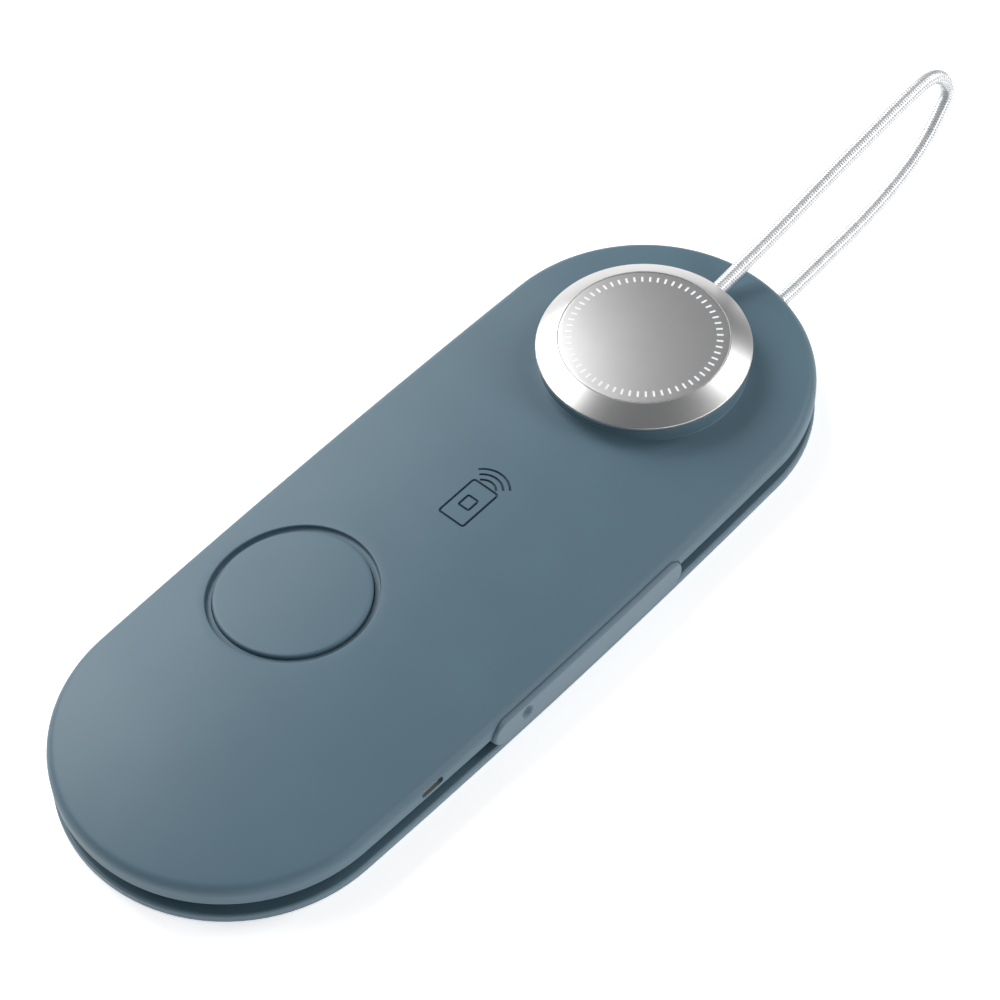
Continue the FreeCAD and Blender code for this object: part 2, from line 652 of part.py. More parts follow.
def make_button():
    """The button, the thin ring that carries it, and the switch dome under its stub."""
    where = (size.button_x, size.button_y)
    outer = crown("button_crown", 0)
    inner = crown("button_inner", size.button_thick)
    disc = cut("button_wall", common("button_blank", cylinder(
        "button_column", size.button_r, size.ridge_z, (where[0], where[1], board_top)), outer), [inner])
    stub_low = board_top + size.dome_rise + size.press_play
    stub = common("button_stub", cylinder("button_stub_column", size.plunger_r, size.ridge_z,
                                          (where[0], where[1], stub_low)),
                  crown("stub_crown", size.button_thick / 2))
    button = fuse("button_cap", [disc, stub])
    ring = cut("membrane_blank", cylinder(
        "membrane_column", size.button_r + size.groove_wide - size.press_gap, size.ridge_z,
        (where[0], where[1], board_top)), [cylinder(
            "membrane_hole", size.button_r + size.run_fit, size.ridge_z + OVER,
            (where[0], where[1], board_top - OVER))])
    membrane = cut("button_membrane", common("membrane_low", ring, crown("membrane_top", size.groove_deep)),
                   [crown("membrane_under", size.roof)])
    radius = (size.dome_r * size.dome_r + size.dome_rise * size.dome_rise) / (2 * size.dome_rise)
    ball = sphere("dome_ball", radius, (where[0], where[1], board_top + size.dome_rise - radius))
    dome = common("switch_dome", ball, cylinder("dome_slice", size.dome_r + OVER, size.dome_rise,
                                                (where[0], where[1], board_top)))
    return [button, membrane, dome]


def make_board():
    """The circuit board and what stands on it."""
    corner = size.board_corner
    outline = [(size.board_x0, size.board_y0 + corner), (size.board_x0 + corner, size.board_y0),
               (size.port_x - size.port_wide / 2 - size.seat_gap, size.board_y0),
               (size.port_x - size.port_wide / 2 - size.seat_gap, flap_back + size.port_deep + size.seat_gap),
               (size.port_x + size.port_wide / 2 + size.seat_gap, flap_back + size.port_deep + size.seat_gap),
               (size.port_x + size.port_wide / 2 + size.seat_gap, size.board_y0),
               (size.board_x2, size.board_y0), (size.board_x2, size.board_y1),
               (size.board_x1, size.board_y1), (size.board_x1, size.board_y2),
               (size.board_x0 + corner, size.board_y2), (size.board_x0, size.board_y2 - corner)]
    board = padded_body("circuit_board", outline, size.board_low, size.board_thick)

    chips = [box(name, (size.board_x0 + x, size.board_y0 + y, board_top),
                 (size.board_x0 + x + long, size.board_y0 + y + wide, board_top + tall))
             for name, x, y, long, wide, tall in CHIPS]
    plug_x = size.board_x1 - size.plug_edge
    plug = box("battery_connector",
               (plug_x - size.plug_long, size.wires_y - size.plug_wide / 2, board_top),
               (plug_x, size.wires_y + size.plug_wide / 2, board_top + size.plug_tall))
    return [board, *chips, plug]


def make_port():
    """The charging socket and its tongue."""
    low_x = size.port_x - size.port_wide / 2
    high_x = size.port_x + size.port_wide / 2
    low_z = flap_mid_z - size.port_tall / 2
    high_z = flap_mid_z + size.port_tall / 2
    wall = size.port_shell
    front = flap_back + size.press_gap
    back = flap_back + size.port_deep
    outside = stadium("socket_outside", low_x, high_x, low_z, high_z, front, back)
    inside = stadium("socket_inside", low_x + wall, high_x - wall, low_z + wall, high_z - wall,
                     front - OVER, back - size.socket_back)
    socket = cut("usb_socket", outside, [inside])
    tongue = box("usb_tongue", (size.port_x - size.tongue_wide / 2, front + size.tongue_back,
                                flap_mid_z - size.tongue_thick / 2),
                 (size.port_x + size.tongue_wide / 2, back - size.socket_back,
                  flap_mid_z + size.tongue_thick / 2))
    return [socket, tongue]


def make_flap():
    """The soft port flap, in two pieces that meet at the line where it bends."""
    chord = (size.flap_x1 - size.flap_x0) / 2
    bulge_r = (chord * chord + size.flap_bulge * size.flap_bulge) / (2 * size.flap_bulge)
    middle = (size.flap_x0 + size.flap_x1) / 2
    blank = stadium("flap_blank", size.flap_x0, size.flap_x1, size.flap_z0, size.flap_z1,
                    flap_face - OVER, flap_back)
    bulge = cylinder("flap_bulge_face", bulge_r, size.flap_z1 + OVER,
                     (middle, flap_face - size.flap_bulge + bulge_r, 0))
    whole = common("flap_whole", blank, bulge)
    past = box("flap_past_hinge", (size.flap_hinge, flap_face - OVER, 0),
               (size.flap_x1 + OVER, flap_back + OVER, size.flap_z1 + OVER))
    before = box("flap_before_hinge", (size.flap_x0 - OVER, flap_face - OVER, 0),
                 (size.flap_hinge + size.seat_gap, flap_back + OVER, size.flap_z1 + OVER))
    inner = size.port_shell + size.plug_side
    lead_in = size.port_shell + size.plug_play
    plug = stadium("flap_plug", size.port_x - size.port_wide / 2 + inner,
                   size.port_x + size.port_wide / 2 - inner,
                   flap_mid_z - size.port_tall / 2 + lead_in, flap_mid_z + size.port_tall / 2 - lead_in,
                   flap_back - size.plug_root, flap_back + size.plug_deep)
    dimple = cylinder("flap_dimple", size.dimple_r, OVER + size.dimple_deep,
                      (size.dimple_x, flap_face - OVER, size.dimple_z), TURN_TO_Y)
    flap = cut("port_flap", fuse("flap_with_plug", [whole, plug]), [past, dimple])
    stem = cylinder("anchor_stem", size.stem_r, size.flap_thick + size.stem_root + size.stem_past,
                    (size.stem_x, flap_back - size.stem_root, flap_mid_z), TURN_TO_Y)
    head = cylinder("anchor_head", size.anchor_head_r, size.anchor_head,
                    (size.stem_x, -size.half_width + tub_inset + size.tub_wall + 1.5 * size.seat_gap,
                     flap_mid_z), TURN_TO_Y)
    anchor = cut("flap_anchor", fuse("anchor_parts", [whole, stem, head]), [before])
    return [flap, anchor]


def make_battery():
    """The pouch cell, its pad and leads, and the short-range coil that lies on it."""
    x0 = size.battery_x - size.battery_long / 2
    x1 = size.battery_x + size.battery_long / 2
    y0 = size.battery_y - size.battery_wide / 2
    y1 = size.battery_y + size.battery_wide / 2
    low = tub_inside + size.pad_thick
    cell = padded_body("battery", rectangle(x0, x1, y0, y1), low, size.battery_thick, size.battery_corner)
    pad = box("battery_pad", (x0 + size.pad_edge, y0 + size.pad_edge, tub_inside),
              (x1 - size.pad_edge, y1 - size.pad_edge, low))
    wires = []
    plug_x = size.board_x1 - size.plug_edge
    for number, side in enumerate((-1, 1), start=1):
        wires.append(cylinder("lead_%d" % number, size.wire_r, x0 - plug_x,
                              (plug_x, size.wires_y + side * size.wire_apart / 2,
                               board_top + size.plug_tall / 2), TURN_TO_X))
    leads = fuse("battery_lead", wires)
    top = low + size.battery_thick
    half_long = size.coil_long / 2
    half_wide = size.coil_wide / 2
    sheet_box = box("ferrite_sheet",
                    (size.battery_x - half_long, size.coil_y - half_wide, top),
                    (size.battery_x + half_long, size.coil_y + half_wide, top + size.sheet_thick))
    coil_low = top + size.sheet_thick
    coil = cut("short_range_coil", box("coil_outside",
               (size.battery_x - half_long, size.coil_y - half_wide, coil_low),
               (size.battery_x + half_long, size.coil_y + half_wide, coil_low + size.sheet_thick)),
               [box("coil_inside",
                (size.battery_x - half_long + size.coil_band,
                 size.coil_y - half_wide + size.coil_band, coil_low - OVER),
                (size.battery_x + half_long - size.coil_band,
                 size.coil_y + half_wide - size.coil_band, coil_low + OVER))])
    return [cell, pad, leads, sheet_box, coil]


def make_sounder():
    """The piezo sounder on its rib, and the mesh in the sound slot."""
    plate = cylinder("sounder_plate", size.sounder_r, size.brass_thick,
                     (size.sounder_x, 0, size.sounder_seat))
    ceramic = cylinder("sounder_ceramic", size.ceramic_r, size.ceramic_thick,
                       (size.sounder_x, 0, size.sounder_seat + size.brass_thick))
    front = -size.half_width + size.mesh_back
    mesh = box("sounder_mesh", (size.slot_x - size.slot_long / 2, front,
                                size.slot_z - size.slot_tall / 2),
               (size.slot_x + size.slot_long / 2, front + size.mesh_thick,
                size.slot_z + size.slot_tall / 2))
    return [plate, ceramic, mesh]


def make_cap():
    """The screw cap: bevelled bezel, inlaid disc, stud and the rubber ring under it."""
    at = (size.end_x, 0, 0)
    seat = cap_top - size.disc_seat
    head_top = cap_low + size.stud_head_thick
    bezel = turned_body("cap_bezel", [
        (0, head_top), (size.stud_head + size.seat_gap, head_top),
        (size.stud_head + size.seat_gap, cap_low), (size.cap_r - size.bezel_chamfer, cap_low),
        (size.cap_r, cap_low + size.bezel_chamfer), (size.cap_r, cap_low + size.cap_rim),
        (size.disc_r + size.bezel_lip, cap_top), (size.disc_r + size.press_gap, cap_top),
        (size.disc_r + size.press_gap, seat), (0, seat)], at)
    edge = cap_top - size.run_fit
    disc_radius = (size.disc_r * size.disc_r + size.disc_dome * size.disc_dome) / (2 * size.disc_dome)
    disc = common("cap_disc", cylinder("disc_column", size.disc_r, size.disc_seat + OVER,
                                       (size.end_x, 0, seat)),
                  sphere("disc_dome_ball", disc_radius,
                         (size.end_x, 0, edge + size.disc_dome - disc_radius)))
    stud = turned_body("cap_stud", [
        (0, size.stud_low), (size.post_bore - size.run_fit, size.stud_low),
        (size.post_bore - size.run_fit, cap_low), (size.stud_head, cap_low),
        (size.stud_head, head_top), (0, head_top)], at)
    ring = turned_body("cap_washer", [
        (size.cap_seal_in, size.boss_top), (size.cap_seal_out, size.boss_top),
        (size.cap_seal_out, size.boss_top + size.cap_seal_thick),
        (size.cap_seal_in, size.boss_top + size.cap_seal_thick)], at)
    return [bezel, disc, stud, ring]


def make_screws():
    """Four screws from below, as one group."""
    parts = []
    for number, (x, y) in enumerate(screw_places(), start=1):
        head_low = tub_low + size.seat_gap / 2
        parts.append(fuse("screw_%d" % number, [
            cylinder("screw_head_%d" % number, size.screw_head_r, size.screw_head, (x, y, head_low)),
            cylinder("screw_shank_%d" % number, size.screw_r, size.screw_long,
                     (x, y, head_low + size.screw_head - size.seat_gap))]))
    return fuse("shell_screws", parts)


def tube_path(points):
    """Straight runs joined by tangent arcs, each as large as its two runs allow."""
    edges = []
    radii = []
    start = points[0]
    for before, corner, after in zip(points, points[1:], points[2:]):
        back = before - corner
        ahead = after - corner
        turn = math.pi - back.getAngle(ahead)
        reach = 0.45 * min(back.Length, ahead.Length)
        radius = reach / math.tan(turn / 2)
        back.normalize()
        ahead.normalize()
        inwards = back + ahead
        inwards.normalize()
        centre = corner + inwards * (radius / math.cos(turn / 2))
        first = corner + back * reach
        last = corner + ahead * reach
        middle = centre - inwards * radius
        edges.append(Part.LineSegment(start, first).toShape())
        edges.append(Part.Arc(first, middle, last).toShape())
        radii.append(radius)
        start = last
    edges.append(Part.LineSegment(start, points[-1]).toShape())
    return Part.Wire(edges), radii


def make_cable():
    """The cable loop between its two crimped sleeves."""
    route = [Vector(*point) for point in CABLE_ROUTE]
    route[0] = Vector(size.upper_end_x.value, 0, size.upper_end_z.value)
    route[-1] = Vector(size.lower_end_x.value, size.lower_end_y.value, size.lower_end_z.value)
    path, radii = tube_path(route)
    radius = size.cable_d.value / 2
    section = Part.Wire([Part.Circle(route[0], route[1] - route[0], radius).toShape()])
    cable = doc.addObject("Part::Feature", "cable_loop")
    cable.Shape = path.makePipeShell([section], True, False)
    print("cable bends, mm:", ", ".join("%.1f" % r for r in radii))
    print("cable length %.2f, volume over section times length %.4f" % (
        path.Length, cable.Shape.Volume / (math.pi * radius * radius * path.Length)))
    upper = cylinder("upper_ferrule", size.ferrule_r, size.ferrule_long,
                     (size.upper_end_x - size.ferrule_long, 0, size.upper_end_z), TURN_TO_X)
    lower = cylinder("lower_ferrule", size.ferrule_r, size.ferrule_long,
                     (size.lower_end_x - size.ferrule_long, size.lower_end_y, size.lower_end_z), TURN_TO_X)
    return [cable, upper, lower]


def check(items):
    """Stop if any object failed to compute or any sub-part isn't a valid solid."""
    for item in doc.Objects:
        if "Invalid" in item.State or "Error" in item.State:
            raise RuntimeError("%s: %s" % (item.Name, item.State))
    for item in items:
        if item.Shape.isNull() or not item.Shape.isValid() or not item.Shape.Solids:
            raise RuntimeError("%s has no valid solid" % item.Name)


def main():
    nodes = [make_plate(), make_card(), make_base(), make_gasket(), make_top(), make_screws()]
    for group in (make_pivot, make_button, make_board, make_port, make_flap, make_battery,
                  make_sounder, make_cap, make_cable):
        nodes.extend(group())
    doc.recompute()
    check(nodes)
    os.makedirs("parts", exist_ok=True)
    for item in nodes:
        item.Label = item.Name
        item.Shape.exportStep("parts/%s.step" % item.Label)
        print("%-20s %2d solid(s) %9.2f mm3" % (item.Label, len(item.Shape.Solids), item.Shape.Volume))


main()
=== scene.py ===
"""Studio scene of a luggage finder tag: shell, swivel plate, screw cap, soft button, port flap and cable loop."""

import json
import math
from contextlib import contextmanager

import bmesh
import bpy
import numpy as np
from bpy.props import FloatProperty, FloatVectorProperty, IntProperty, PointerProperty
from mathutils import Matrix, Vector
from mathutils.geometry import delaunay_2d_cdt

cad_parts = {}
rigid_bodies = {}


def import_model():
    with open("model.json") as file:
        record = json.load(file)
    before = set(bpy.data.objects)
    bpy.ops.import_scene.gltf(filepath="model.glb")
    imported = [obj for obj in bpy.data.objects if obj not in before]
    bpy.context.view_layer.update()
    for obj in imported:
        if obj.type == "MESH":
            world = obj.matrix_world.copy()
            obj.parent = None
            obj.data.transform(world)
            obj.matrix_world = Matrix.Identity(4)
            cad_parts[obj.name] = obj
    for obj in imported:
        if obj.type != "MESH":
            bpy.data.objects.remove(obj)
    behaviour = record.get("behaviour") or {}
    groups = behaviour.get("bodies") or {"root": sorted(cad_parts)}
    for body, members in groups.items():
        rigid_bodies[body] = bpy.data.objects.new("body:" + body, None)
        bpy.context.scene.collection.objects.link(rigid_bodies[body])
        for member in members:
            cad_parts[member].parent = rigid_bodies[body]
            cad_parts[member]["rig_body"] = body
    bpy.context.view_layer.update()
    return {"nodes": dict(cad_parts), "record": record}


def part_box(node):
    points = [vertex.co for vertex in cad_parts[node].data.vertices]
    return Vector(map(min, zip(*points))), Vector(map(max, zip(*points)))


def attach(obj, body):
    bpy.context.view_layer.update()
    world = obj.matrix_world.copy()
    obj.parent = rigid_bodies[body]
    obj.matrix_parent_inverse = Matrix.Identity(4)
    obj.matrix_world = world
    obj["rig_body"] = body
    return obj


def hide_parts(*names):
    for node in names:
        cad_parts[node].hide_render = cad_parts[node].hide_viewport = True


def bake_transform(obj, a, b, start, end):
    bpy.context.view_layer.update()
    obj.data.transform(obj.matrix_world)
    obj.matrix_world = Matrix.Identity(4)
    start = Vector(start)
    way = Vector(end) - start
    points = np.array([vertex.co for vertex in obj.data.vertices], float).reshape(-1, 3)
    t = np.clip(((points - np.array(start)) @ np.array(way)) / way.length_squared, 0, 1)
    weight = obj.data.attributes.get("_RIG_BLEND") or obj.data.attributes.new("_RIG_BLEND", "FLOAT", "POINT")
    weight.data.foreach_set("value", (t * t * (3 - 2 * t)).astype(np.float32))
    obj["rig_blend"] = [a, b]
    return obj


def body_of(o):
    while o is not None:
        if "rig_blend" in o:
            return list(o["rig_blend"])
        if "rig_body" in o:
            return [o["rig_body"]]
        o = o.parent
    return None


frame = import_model()

bl_info = {
    "name": "Finder Tag",
    "version": (1, 0, 0),
    "blender": (4, 5, 0),
    "location": "3D View > Sidebar > Finder Tag",
    "description": "Builds a luggage finder tag with its finishes, cable loop, lights and camera",
    "category": "Add Mesh",
}

MM = 0.001
SHELL_LOW, SHELL_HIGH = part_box("top_shell")
FLAP_LOW, FLAP_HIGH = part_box("port_flap")
ANCHOR_LOW, ANCHOR_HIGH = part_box("flap_anchor")
MESH_LOW, MESH_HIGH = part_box("sounder_mesh")
BEZEL_LOW, BEZEL_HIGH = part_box("cap_bezel")
DISC_LOW, DISC_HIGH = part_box("cap_disc")
BUTTON_LOW, BUTTON_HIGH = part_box("button_cap")
RIDGE = 8.5 * MM  # height of the crowned top's middle line
CAP_CENTRE = (BEZEL_LOW + BEZEL_HIGH) / 2
BUTTON_CENTRE = (BUTTON_LOW + BUTTON_HIGH) / 2

# The cable's control points in metres: out from under the cap, round the fold and back under the shell.
CABLE_ROUTE = (
    (0.0436, 0.0, 0.00835),
    (0.0486, 0.0, 0.0089),
    (0.0575, 0.0, 0.0098),
    (0.0685, 0.0, 0.0116),
    (0.0785, 0.0, 0.0129),
    (0.0848, 0.0, 0.0137),
    (0.0885, -0.0001, 0.01395),
    (0.0905, -0.0007, 0.0130),
    (0.0907, -0.0017, 0.0109),
    (0.0883, -0.0022, 0.0094),
    (0.0847, -0.0029, 0.00755),
    (0.0798, -0.0034, 0.00585),
    (0.0719, -0.0037, 0.00425),
    (0.0625, -0.0036, 0.00325),
    (0.0554, -0.0036, 0.0026),
    (0.0504, -0.0036, 0.00285),
)


# ---------------------------------------------------------------- sizes and colours


def length(name, description, value, low=0.0):
    return FloatProperty(name=name, description=description, default=value, min=low,
                         unit="LENGTH", subtype="DISTANCE", precision=5)


def colour(name, description, value):
    return FloatVectorProperty(name=name, description=description, default=value, min=0.0, max=1.0,
                               size=3, subtype="COLOR")


class TagShellSizes(bpy.types.PropertyGroup):
    """Sizes of the upper housing"""

    end_radius: length("End radius", "Radius of the housing's round ends", 20.47 * MM)
    crown_radius: length("Crown radius", "Radius of the crowned top", 88.0 * MM)
    edge_round: length("Edge round", "Radius between the crown and the side wall", 1.4 * MM)
    roof: length("Roof", "Thickness of the top", 1.3 * MM)
    skirt: length("Skirt", "Thickness of the side wall", 2.2 * MM)
    lip_radius: length("Groove radius", "Outer radius of the groove round the button", 9.95 * MM)
    groove_depth: length("Groove depth", "Depth of the groove round the button", 0.6 * MM)
    collar_radius: length("Collar radius", "Radius of the collar under the cap", 12.4 * MM)
    collar_top: length("Collar top", "Height of the collar's top", 9.6 * MM)
    bore_radius: length("Bore radius", "Radius of the hole for the pivot post", 4.1 * MM)
    boss_foot: length("Boss foot", "Height of the boss's lower end", 5.8 * MM)


class TagTrimSizes(bpy.types.PropertyGroup):
    """Sizes of the button, flap, cap and cable"""

    button_radius: length("Button radius", "Radius of the soft button", 9.15 * MM)
    button_thickness: length("Button thickness", "Thickness of the soft button", 1.2 * MM)
    button_edge: length("Button edge", "Radius of the button's upper edge", 0.30 * MM)
    flap_bulge: length("Flap bulge", "How far the flap stands out of the wall", 0.48 * MM)
    cap_bevel_foot: length("Bevel foot", "Height where the cap's bevel starts", 10.6 * MM)
    disc_radius: length("Disc radius", "Radius of the cap's disc", 10.1 * MM)
    disc_seat: length("Disc seat", "Height of the disc's seat in the cap", 11.5 * MM)
    cable_diameter: length("Cable diameter", "Diameter of the braided cable", 1.8 * MM)
    cable_yarns: IntProperty(name="Yarns", description="Yarns in each direction of the braid",
                             default=6, min=4, max=16)
    braid_pitch: length("Braid pitch", "Distance between yarns along the cable", 0.36 * MM)


class TagColours(bpy.types.PropertyGroup):
    """Colours of the finishes"""

    shell: colour("Shell", "Colour of the housing's plastic", (0.086, 0.148, 0.188))
    plate: colour("Plate", "Colour of the swivel plate's plastic", (0.094, 0.158, 0.200))
    silicone: colour("Flap", "Colour of the flap's silicone", (0.110, 0.168, 0.212))
    metal: colour("Cap", "Colour of the cap's metal", (0.600, 0.594, 0.588))
    cable: colour("Cable", "Colour of the cable's braid", (0.800, 0.815, 0.830))
    floor: colour("Floor", "Colour of the floor", (0.900, 0.900, 0.900))


# ---------------------------------------------------------------- surfaces


def side_arc():
    """Centre along X of the round ends, their radius, and the radius of the long side arcs tangent to them."""
    end_radius = bpy.context.scene.tag_shell.end_radius
    end_x = SHELL_HIGH.x - end_radius
    side_radius = (end_x ** 2 + SHELL_HIGH.y ** 2 - end_radius ** 2) / (2 * (SHELL_HIGH.y - end_radius))
    return end_x, end_radius, side_radius


def outline(inset, end_points=150, side_points=130):
    """The housing's outline, inset by that distance: two end arcs and two long side arcs, tangent to each other.

    Each arc is centre + (radius - inset) * (cos a, sin a), so points of two insets lie on one normal.
    """
    end_x, end_radius, side_radius = side_arc()
    side_y = side_radius - SHELL_HIGH.y
    lean = math.asin(end_x / (side_radius - end_radius))
    quarter = math.pi / 2
    arcs = (
        (end_x, 0.0, end_radius, lean - quarter, quarter - lean, end_points),
        (0.0, -side_y, side_radius, quarter - lean, quarter + lean, side_points),
        (-end_x, 0.0, end_radius, quarter + lean, 3 * quarter - lean, end_points),
        (0.0, side_y, side_radius, 3 * quarter - lean, 3 * quarter + lean, side_points),
    )
    columns = []
    for centre_x, centre_y, radius, start, stop, count in arcs:
        angle = np.linspace(start, stop, count, endpoint=False)
        columns.append(np.stack([np.full(count, centre_x), np.full(count, centre_y),
                                 np.full(count, radius), np.cos(angle), np.sin(angle)]))
    centre_x, centre_y, radius, cosine, sine = np.concatenate(columns, axis=1)
    reach = radius - inset
    return np.stack([centre_x + reach * cosine, centre_y + reach * sine], axis=1)


def spine_distance(points):
    """Distance from the middle line that the crown is bent round, a segment along X with round ends."""
    end_x, end_radius, side_radius = side_arc()
    half = end_x + end_radius * end_x / (side_radius - end_radius)
    along = np.maximum(np.abs(points[:, 0]) - half, 0.0)
    return np.hypot(along, points[:, 1])


def crown(points, drop=0.0):
    """Height of the crowned top, lowered along its normal by drop: centre + sqrt((R - drop)^2 - distance^2)."""
    radius = bpy.context.scene.tag_shell.crown_radius
    return RIDGE - radius + np.sqrt((radius - drop) ** 2 - spine_distance(points) ** 2)


@contextmanager
def editing(mesh):
    """The mesh as a bmesh, written back at the end."""
    work = bmesh.new()
    work.from_mesh(mesh)
    yield work
    work.to_mesh(mesh)
    work.free()


class Skin:
    """Rows of points gathered into one closed mesh; rows that share points are welded."""

    def __init__(self):
        self.points, self.faces, self.count = [], [], 0

    def add(self, points, faces):
        self.points.append(np.asarray(points, float).reshape(-1, 3))
        self.faces.extend((np.asarray(faces) + self.count).tolist())
        self.count += len(self.points[-1])

    def rows(self, rows, closed=False):
        """Quads between rows of equal length. Each row is a closed ring; closed joins the last row to the first."""
        grid = np.stack([np.asarray(row, float) for row in rows])
        count, wide = grid.shape[:2]
        index = np.arange(count * wide).reshape(count, wide)
        lower = index if closed else index[:-1]
        upper = np.roll(index, -1, axis=0) if closed else index[1:]
        faces = np.stack([lower, np.roll(lower, -1, axis=1), np.roll(upper, -1, axis=1), upper], axis=-1)
        self.add(grid, faces.reshape(-1, 4))

    def unwelded(self, name):
        """The mesh as gathered."""
        mesh = bpy.data.meshes.new(name)
        mesh.from_pydata(np.concatenate(self.points).tolist(), [], self.faces)
        return mesh

    def mesh(self, name):
        """The mesh with its shared points welded and its faces pointing outwards."""
        mesh = self.unwelded(name)
        with editing(mesh) as work:
            bmesh.ops.remove_doubles(work, verts=work.verts, dist=1e-7)
            bmesh.ops.dissolve_degenerate(work, edges=work.edges, dist=1e-8)
            bmesh.ops.recalc_face_normals(work, faces=work.faces)
        return mesh


def at_height(points, height):
    """Flat points lifted to a height, one number or one for each point."""
    return np.column_stack([points, np.broadcast_to(height, len(points))])


def ring(centre, radius, count):
    """Points on a circle: centre + radius * (cos a, sin a)."""
    angle = np.linspace(0.0, 2 * math.pi, count, endpoint=False)
    return np.stack([centre[0] + radius * np.cos(angle), centre[1] + radius * np.sin(angle)], axis=1)


def field(skin, outer, holes, height, spacing):
    """A sheet between an outer ring and round holes, filled with evenly spaced points and lifted to height(points).

    The points lie on a staggered grid, and a constrained Delaunay triangulation joins them to the rings.
    """
    low, high = outer.min(axis=0), outer.max(axis=0)
    step_y = spacing * math.sqrt(0.75)
    across, up = np.meshgrid(np.arange(low[0], high[0], spacing), np.arange(low[1], high[1], step_y))
    across = across + (np.arange(up.shape[0]) % 2)[:, None] * spacing / 2
    inner = np.stack([across.ravel(), up.ravel()], axis=1)
    keep = inside(inner, outer, spacing * 0.6)
    rings = [outer]
    for centre, radius, count in holes:
        keep &= np.hypot(*(inner - centre).T) > radius + spacing * 0.6
        rings.append(ring(centre, radius, count))
    edges, start = [], 0
    for loop in rings:
        index = np.arange(len(loop)) + start
        edges += np.stack([index, np.roll(index, -1)], axis=1).tolist()
        start += len(loop)
    flat = np.concatenate([*rings, inner[keep]])
    scaled = [Vector(point) for point in (flat / MM).tolist()]
    made = delaunay_2d_cdt(scaled, edges, [], 0, 1e-6)
    found = np.array([tuple(v) for v in made[0]]) * MM
    faces = np.array(made[2])
    middle = found[faces].mean(axis=1)
    within = inside(middle, outer, 0.0)
    for centre, radius, count in holes:
        within &= np.hypot(*(middle - centre).T) > radius * math.cos(math.pi / count)
    source = np.array([given[0] if len(given) else -1 for given in made[3]])
    found[source >= 0] = flat[source[source >= 0]]
    skin.add(at_height(found, height(found)), faces[within])


def inside(points, loop, margin):
    """True for points inside a convex ring by at least that margin, by their distance from each edge's line."""
    ahead = np.roll(loop, -1, axis=0) - loop
    normal = np.stack([ahead[:, 1], -ahead[:, 0]], axis=1)
    normal /= np.linalg.norm(normal, axis=1, keepdims=True)
    beyond = points @ normal.T - np.sum(loop * normal, axis=1)
    return beyond.max(axis=1) < -margin


def rounded(corners, steps=6):
    """A closed profile of (r, z, round) corners, each turned into an arc tangent to both of its sides."""
    points = []
    count = len(corners)
    for i, (r, z, radius) in enumerate(corners):
        here = np.array([r, z])
        if radius == 0:
            points.append(here[None])
            continue
        back = np.array(corners[i - 1][:2]) - here
        ahead = np.array(corners[(i + 1) % count][:2]) - here
        back, ahead = back / np.linalg.norm(back), ahead / np.linalg.norm(ahead)
        half = math.acos(np.clip(back @ ahead, -1.0, 1.0)) / 2
        inwards = (back + ahead) / np.linalg.norm(back + ahead)
        centre = here + inwards * radius / math.sin(half)
        first = here + back * radius / math.tan(half) - centre
        last = here + ahead * radius / math.tan(half) - centre
        t = np.linspace(0.0, 1.0, steps)[:, None]
        chord = first * (1 - t) + last * t
        points.append(centre + chord / np.linalg.norm(chord, axis=1, keepdims=True) * radius)
    return np.concatenate(points)


def revolve(skin, profile, centre, count, closed=True):
    """The profile's (r, z) points turned about the upright line through centre: centre + r (cos a, sin a), z."""
    skin.rows([at_height(ring(centre, r, count), z) for r, z in profile], closed=closed)


def stadium(x0, x1, z0, z1, inset, arc_points=40, side_points=60):
    """A flat-sided oval in X and Z, inset by that distance: two half circles and two straight sides."""
    radius = (z1 - z0) / 2
    middle = (z0 + z1) / 2
    reach = np.maximum(radius - inset, 0.0)
    right = np.linspace(-math.pi / 2, math.pi / 2, arc_points, endpoint=False)
    left = right + math.pi
    slide = np.linspace(0.0, 1.0, side_points, endpoint=False)
    long_right, long_left = x1 - radius, x0 + radius
    x = np.concatenate([long_right + reach * np.cos(right), long_right + (long_left - long_right) * slide,
                        long_left + reach * np.cos(left), long_left + (long_right - long_left) * slide])
    z = np.concatenate([middle + reach * np.sin(right), np.full(side_points, middle + reach),
                        middle + reach * np.sin(left), np.full(side_points, middle - reach)])
    return x, z


def at_depth(x, y, z):
    """Points of an oval in X and Z, moved to a depth, one number or one for each point."""
    return np.stack([x, np.broadcast_to(y, x.shape), z], axis=1)


def wall_y(x):
    """The side wall's Y at each X: an arc of the outline's long side, on the port's side."""
    radius = side_arc()[2]
    return radius - SHELL_HIGH.y - np.sqrt(radius ** 2 - x ** 2)


def stand(name, data):
    """A new object in the scene that carries the data."""
    made = bpy.data.objects.new(name, data)
    bpy.context.scene.collection.objects.link(made)
    return made


def place(name, mesh, body, slot, nodes=(), sharp=30.0, finish=None):
    """Adds a finished piece: smooth shaded up to the sharp angle, on its body, standing for its CAD nodes."""
    piece = stand(name, mesh)
    mesh.shade_smooth()
    mesh.set_sharp_from_angle(angle=math.radians(sharp))
    mesh.materials.clear()
    mesh.materials.append(finish or finish_of(slot))
    if body:
        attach(piece, body)
    if nodes:
        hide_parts(*nodes)
    return piece


def carve(mesh, cutters, name):
    """The mesh less each cutter's volume."""
    work = stand(name + "_work", mesh)
    tools = [stand("%s_cut_%d" % (name, number), cutter) for number, cutter in enumerate(cutters)]
    for tool in tools:
        boolean = work.modifiers.new("cut", "BOOLEAN")
        boolean.object, boolean.operation, boolean.solver = tool, "DIFFERENCE", "EXACT"
    graph = bpy.context.evaluated_depsgraph_get()
    result = bpy.data.meshes.new_from_object(work.evaluated_get(graph))
    for thing in (work, *tools):
        bpy.data.objects.remove(thing)
    result.name = name
    return result


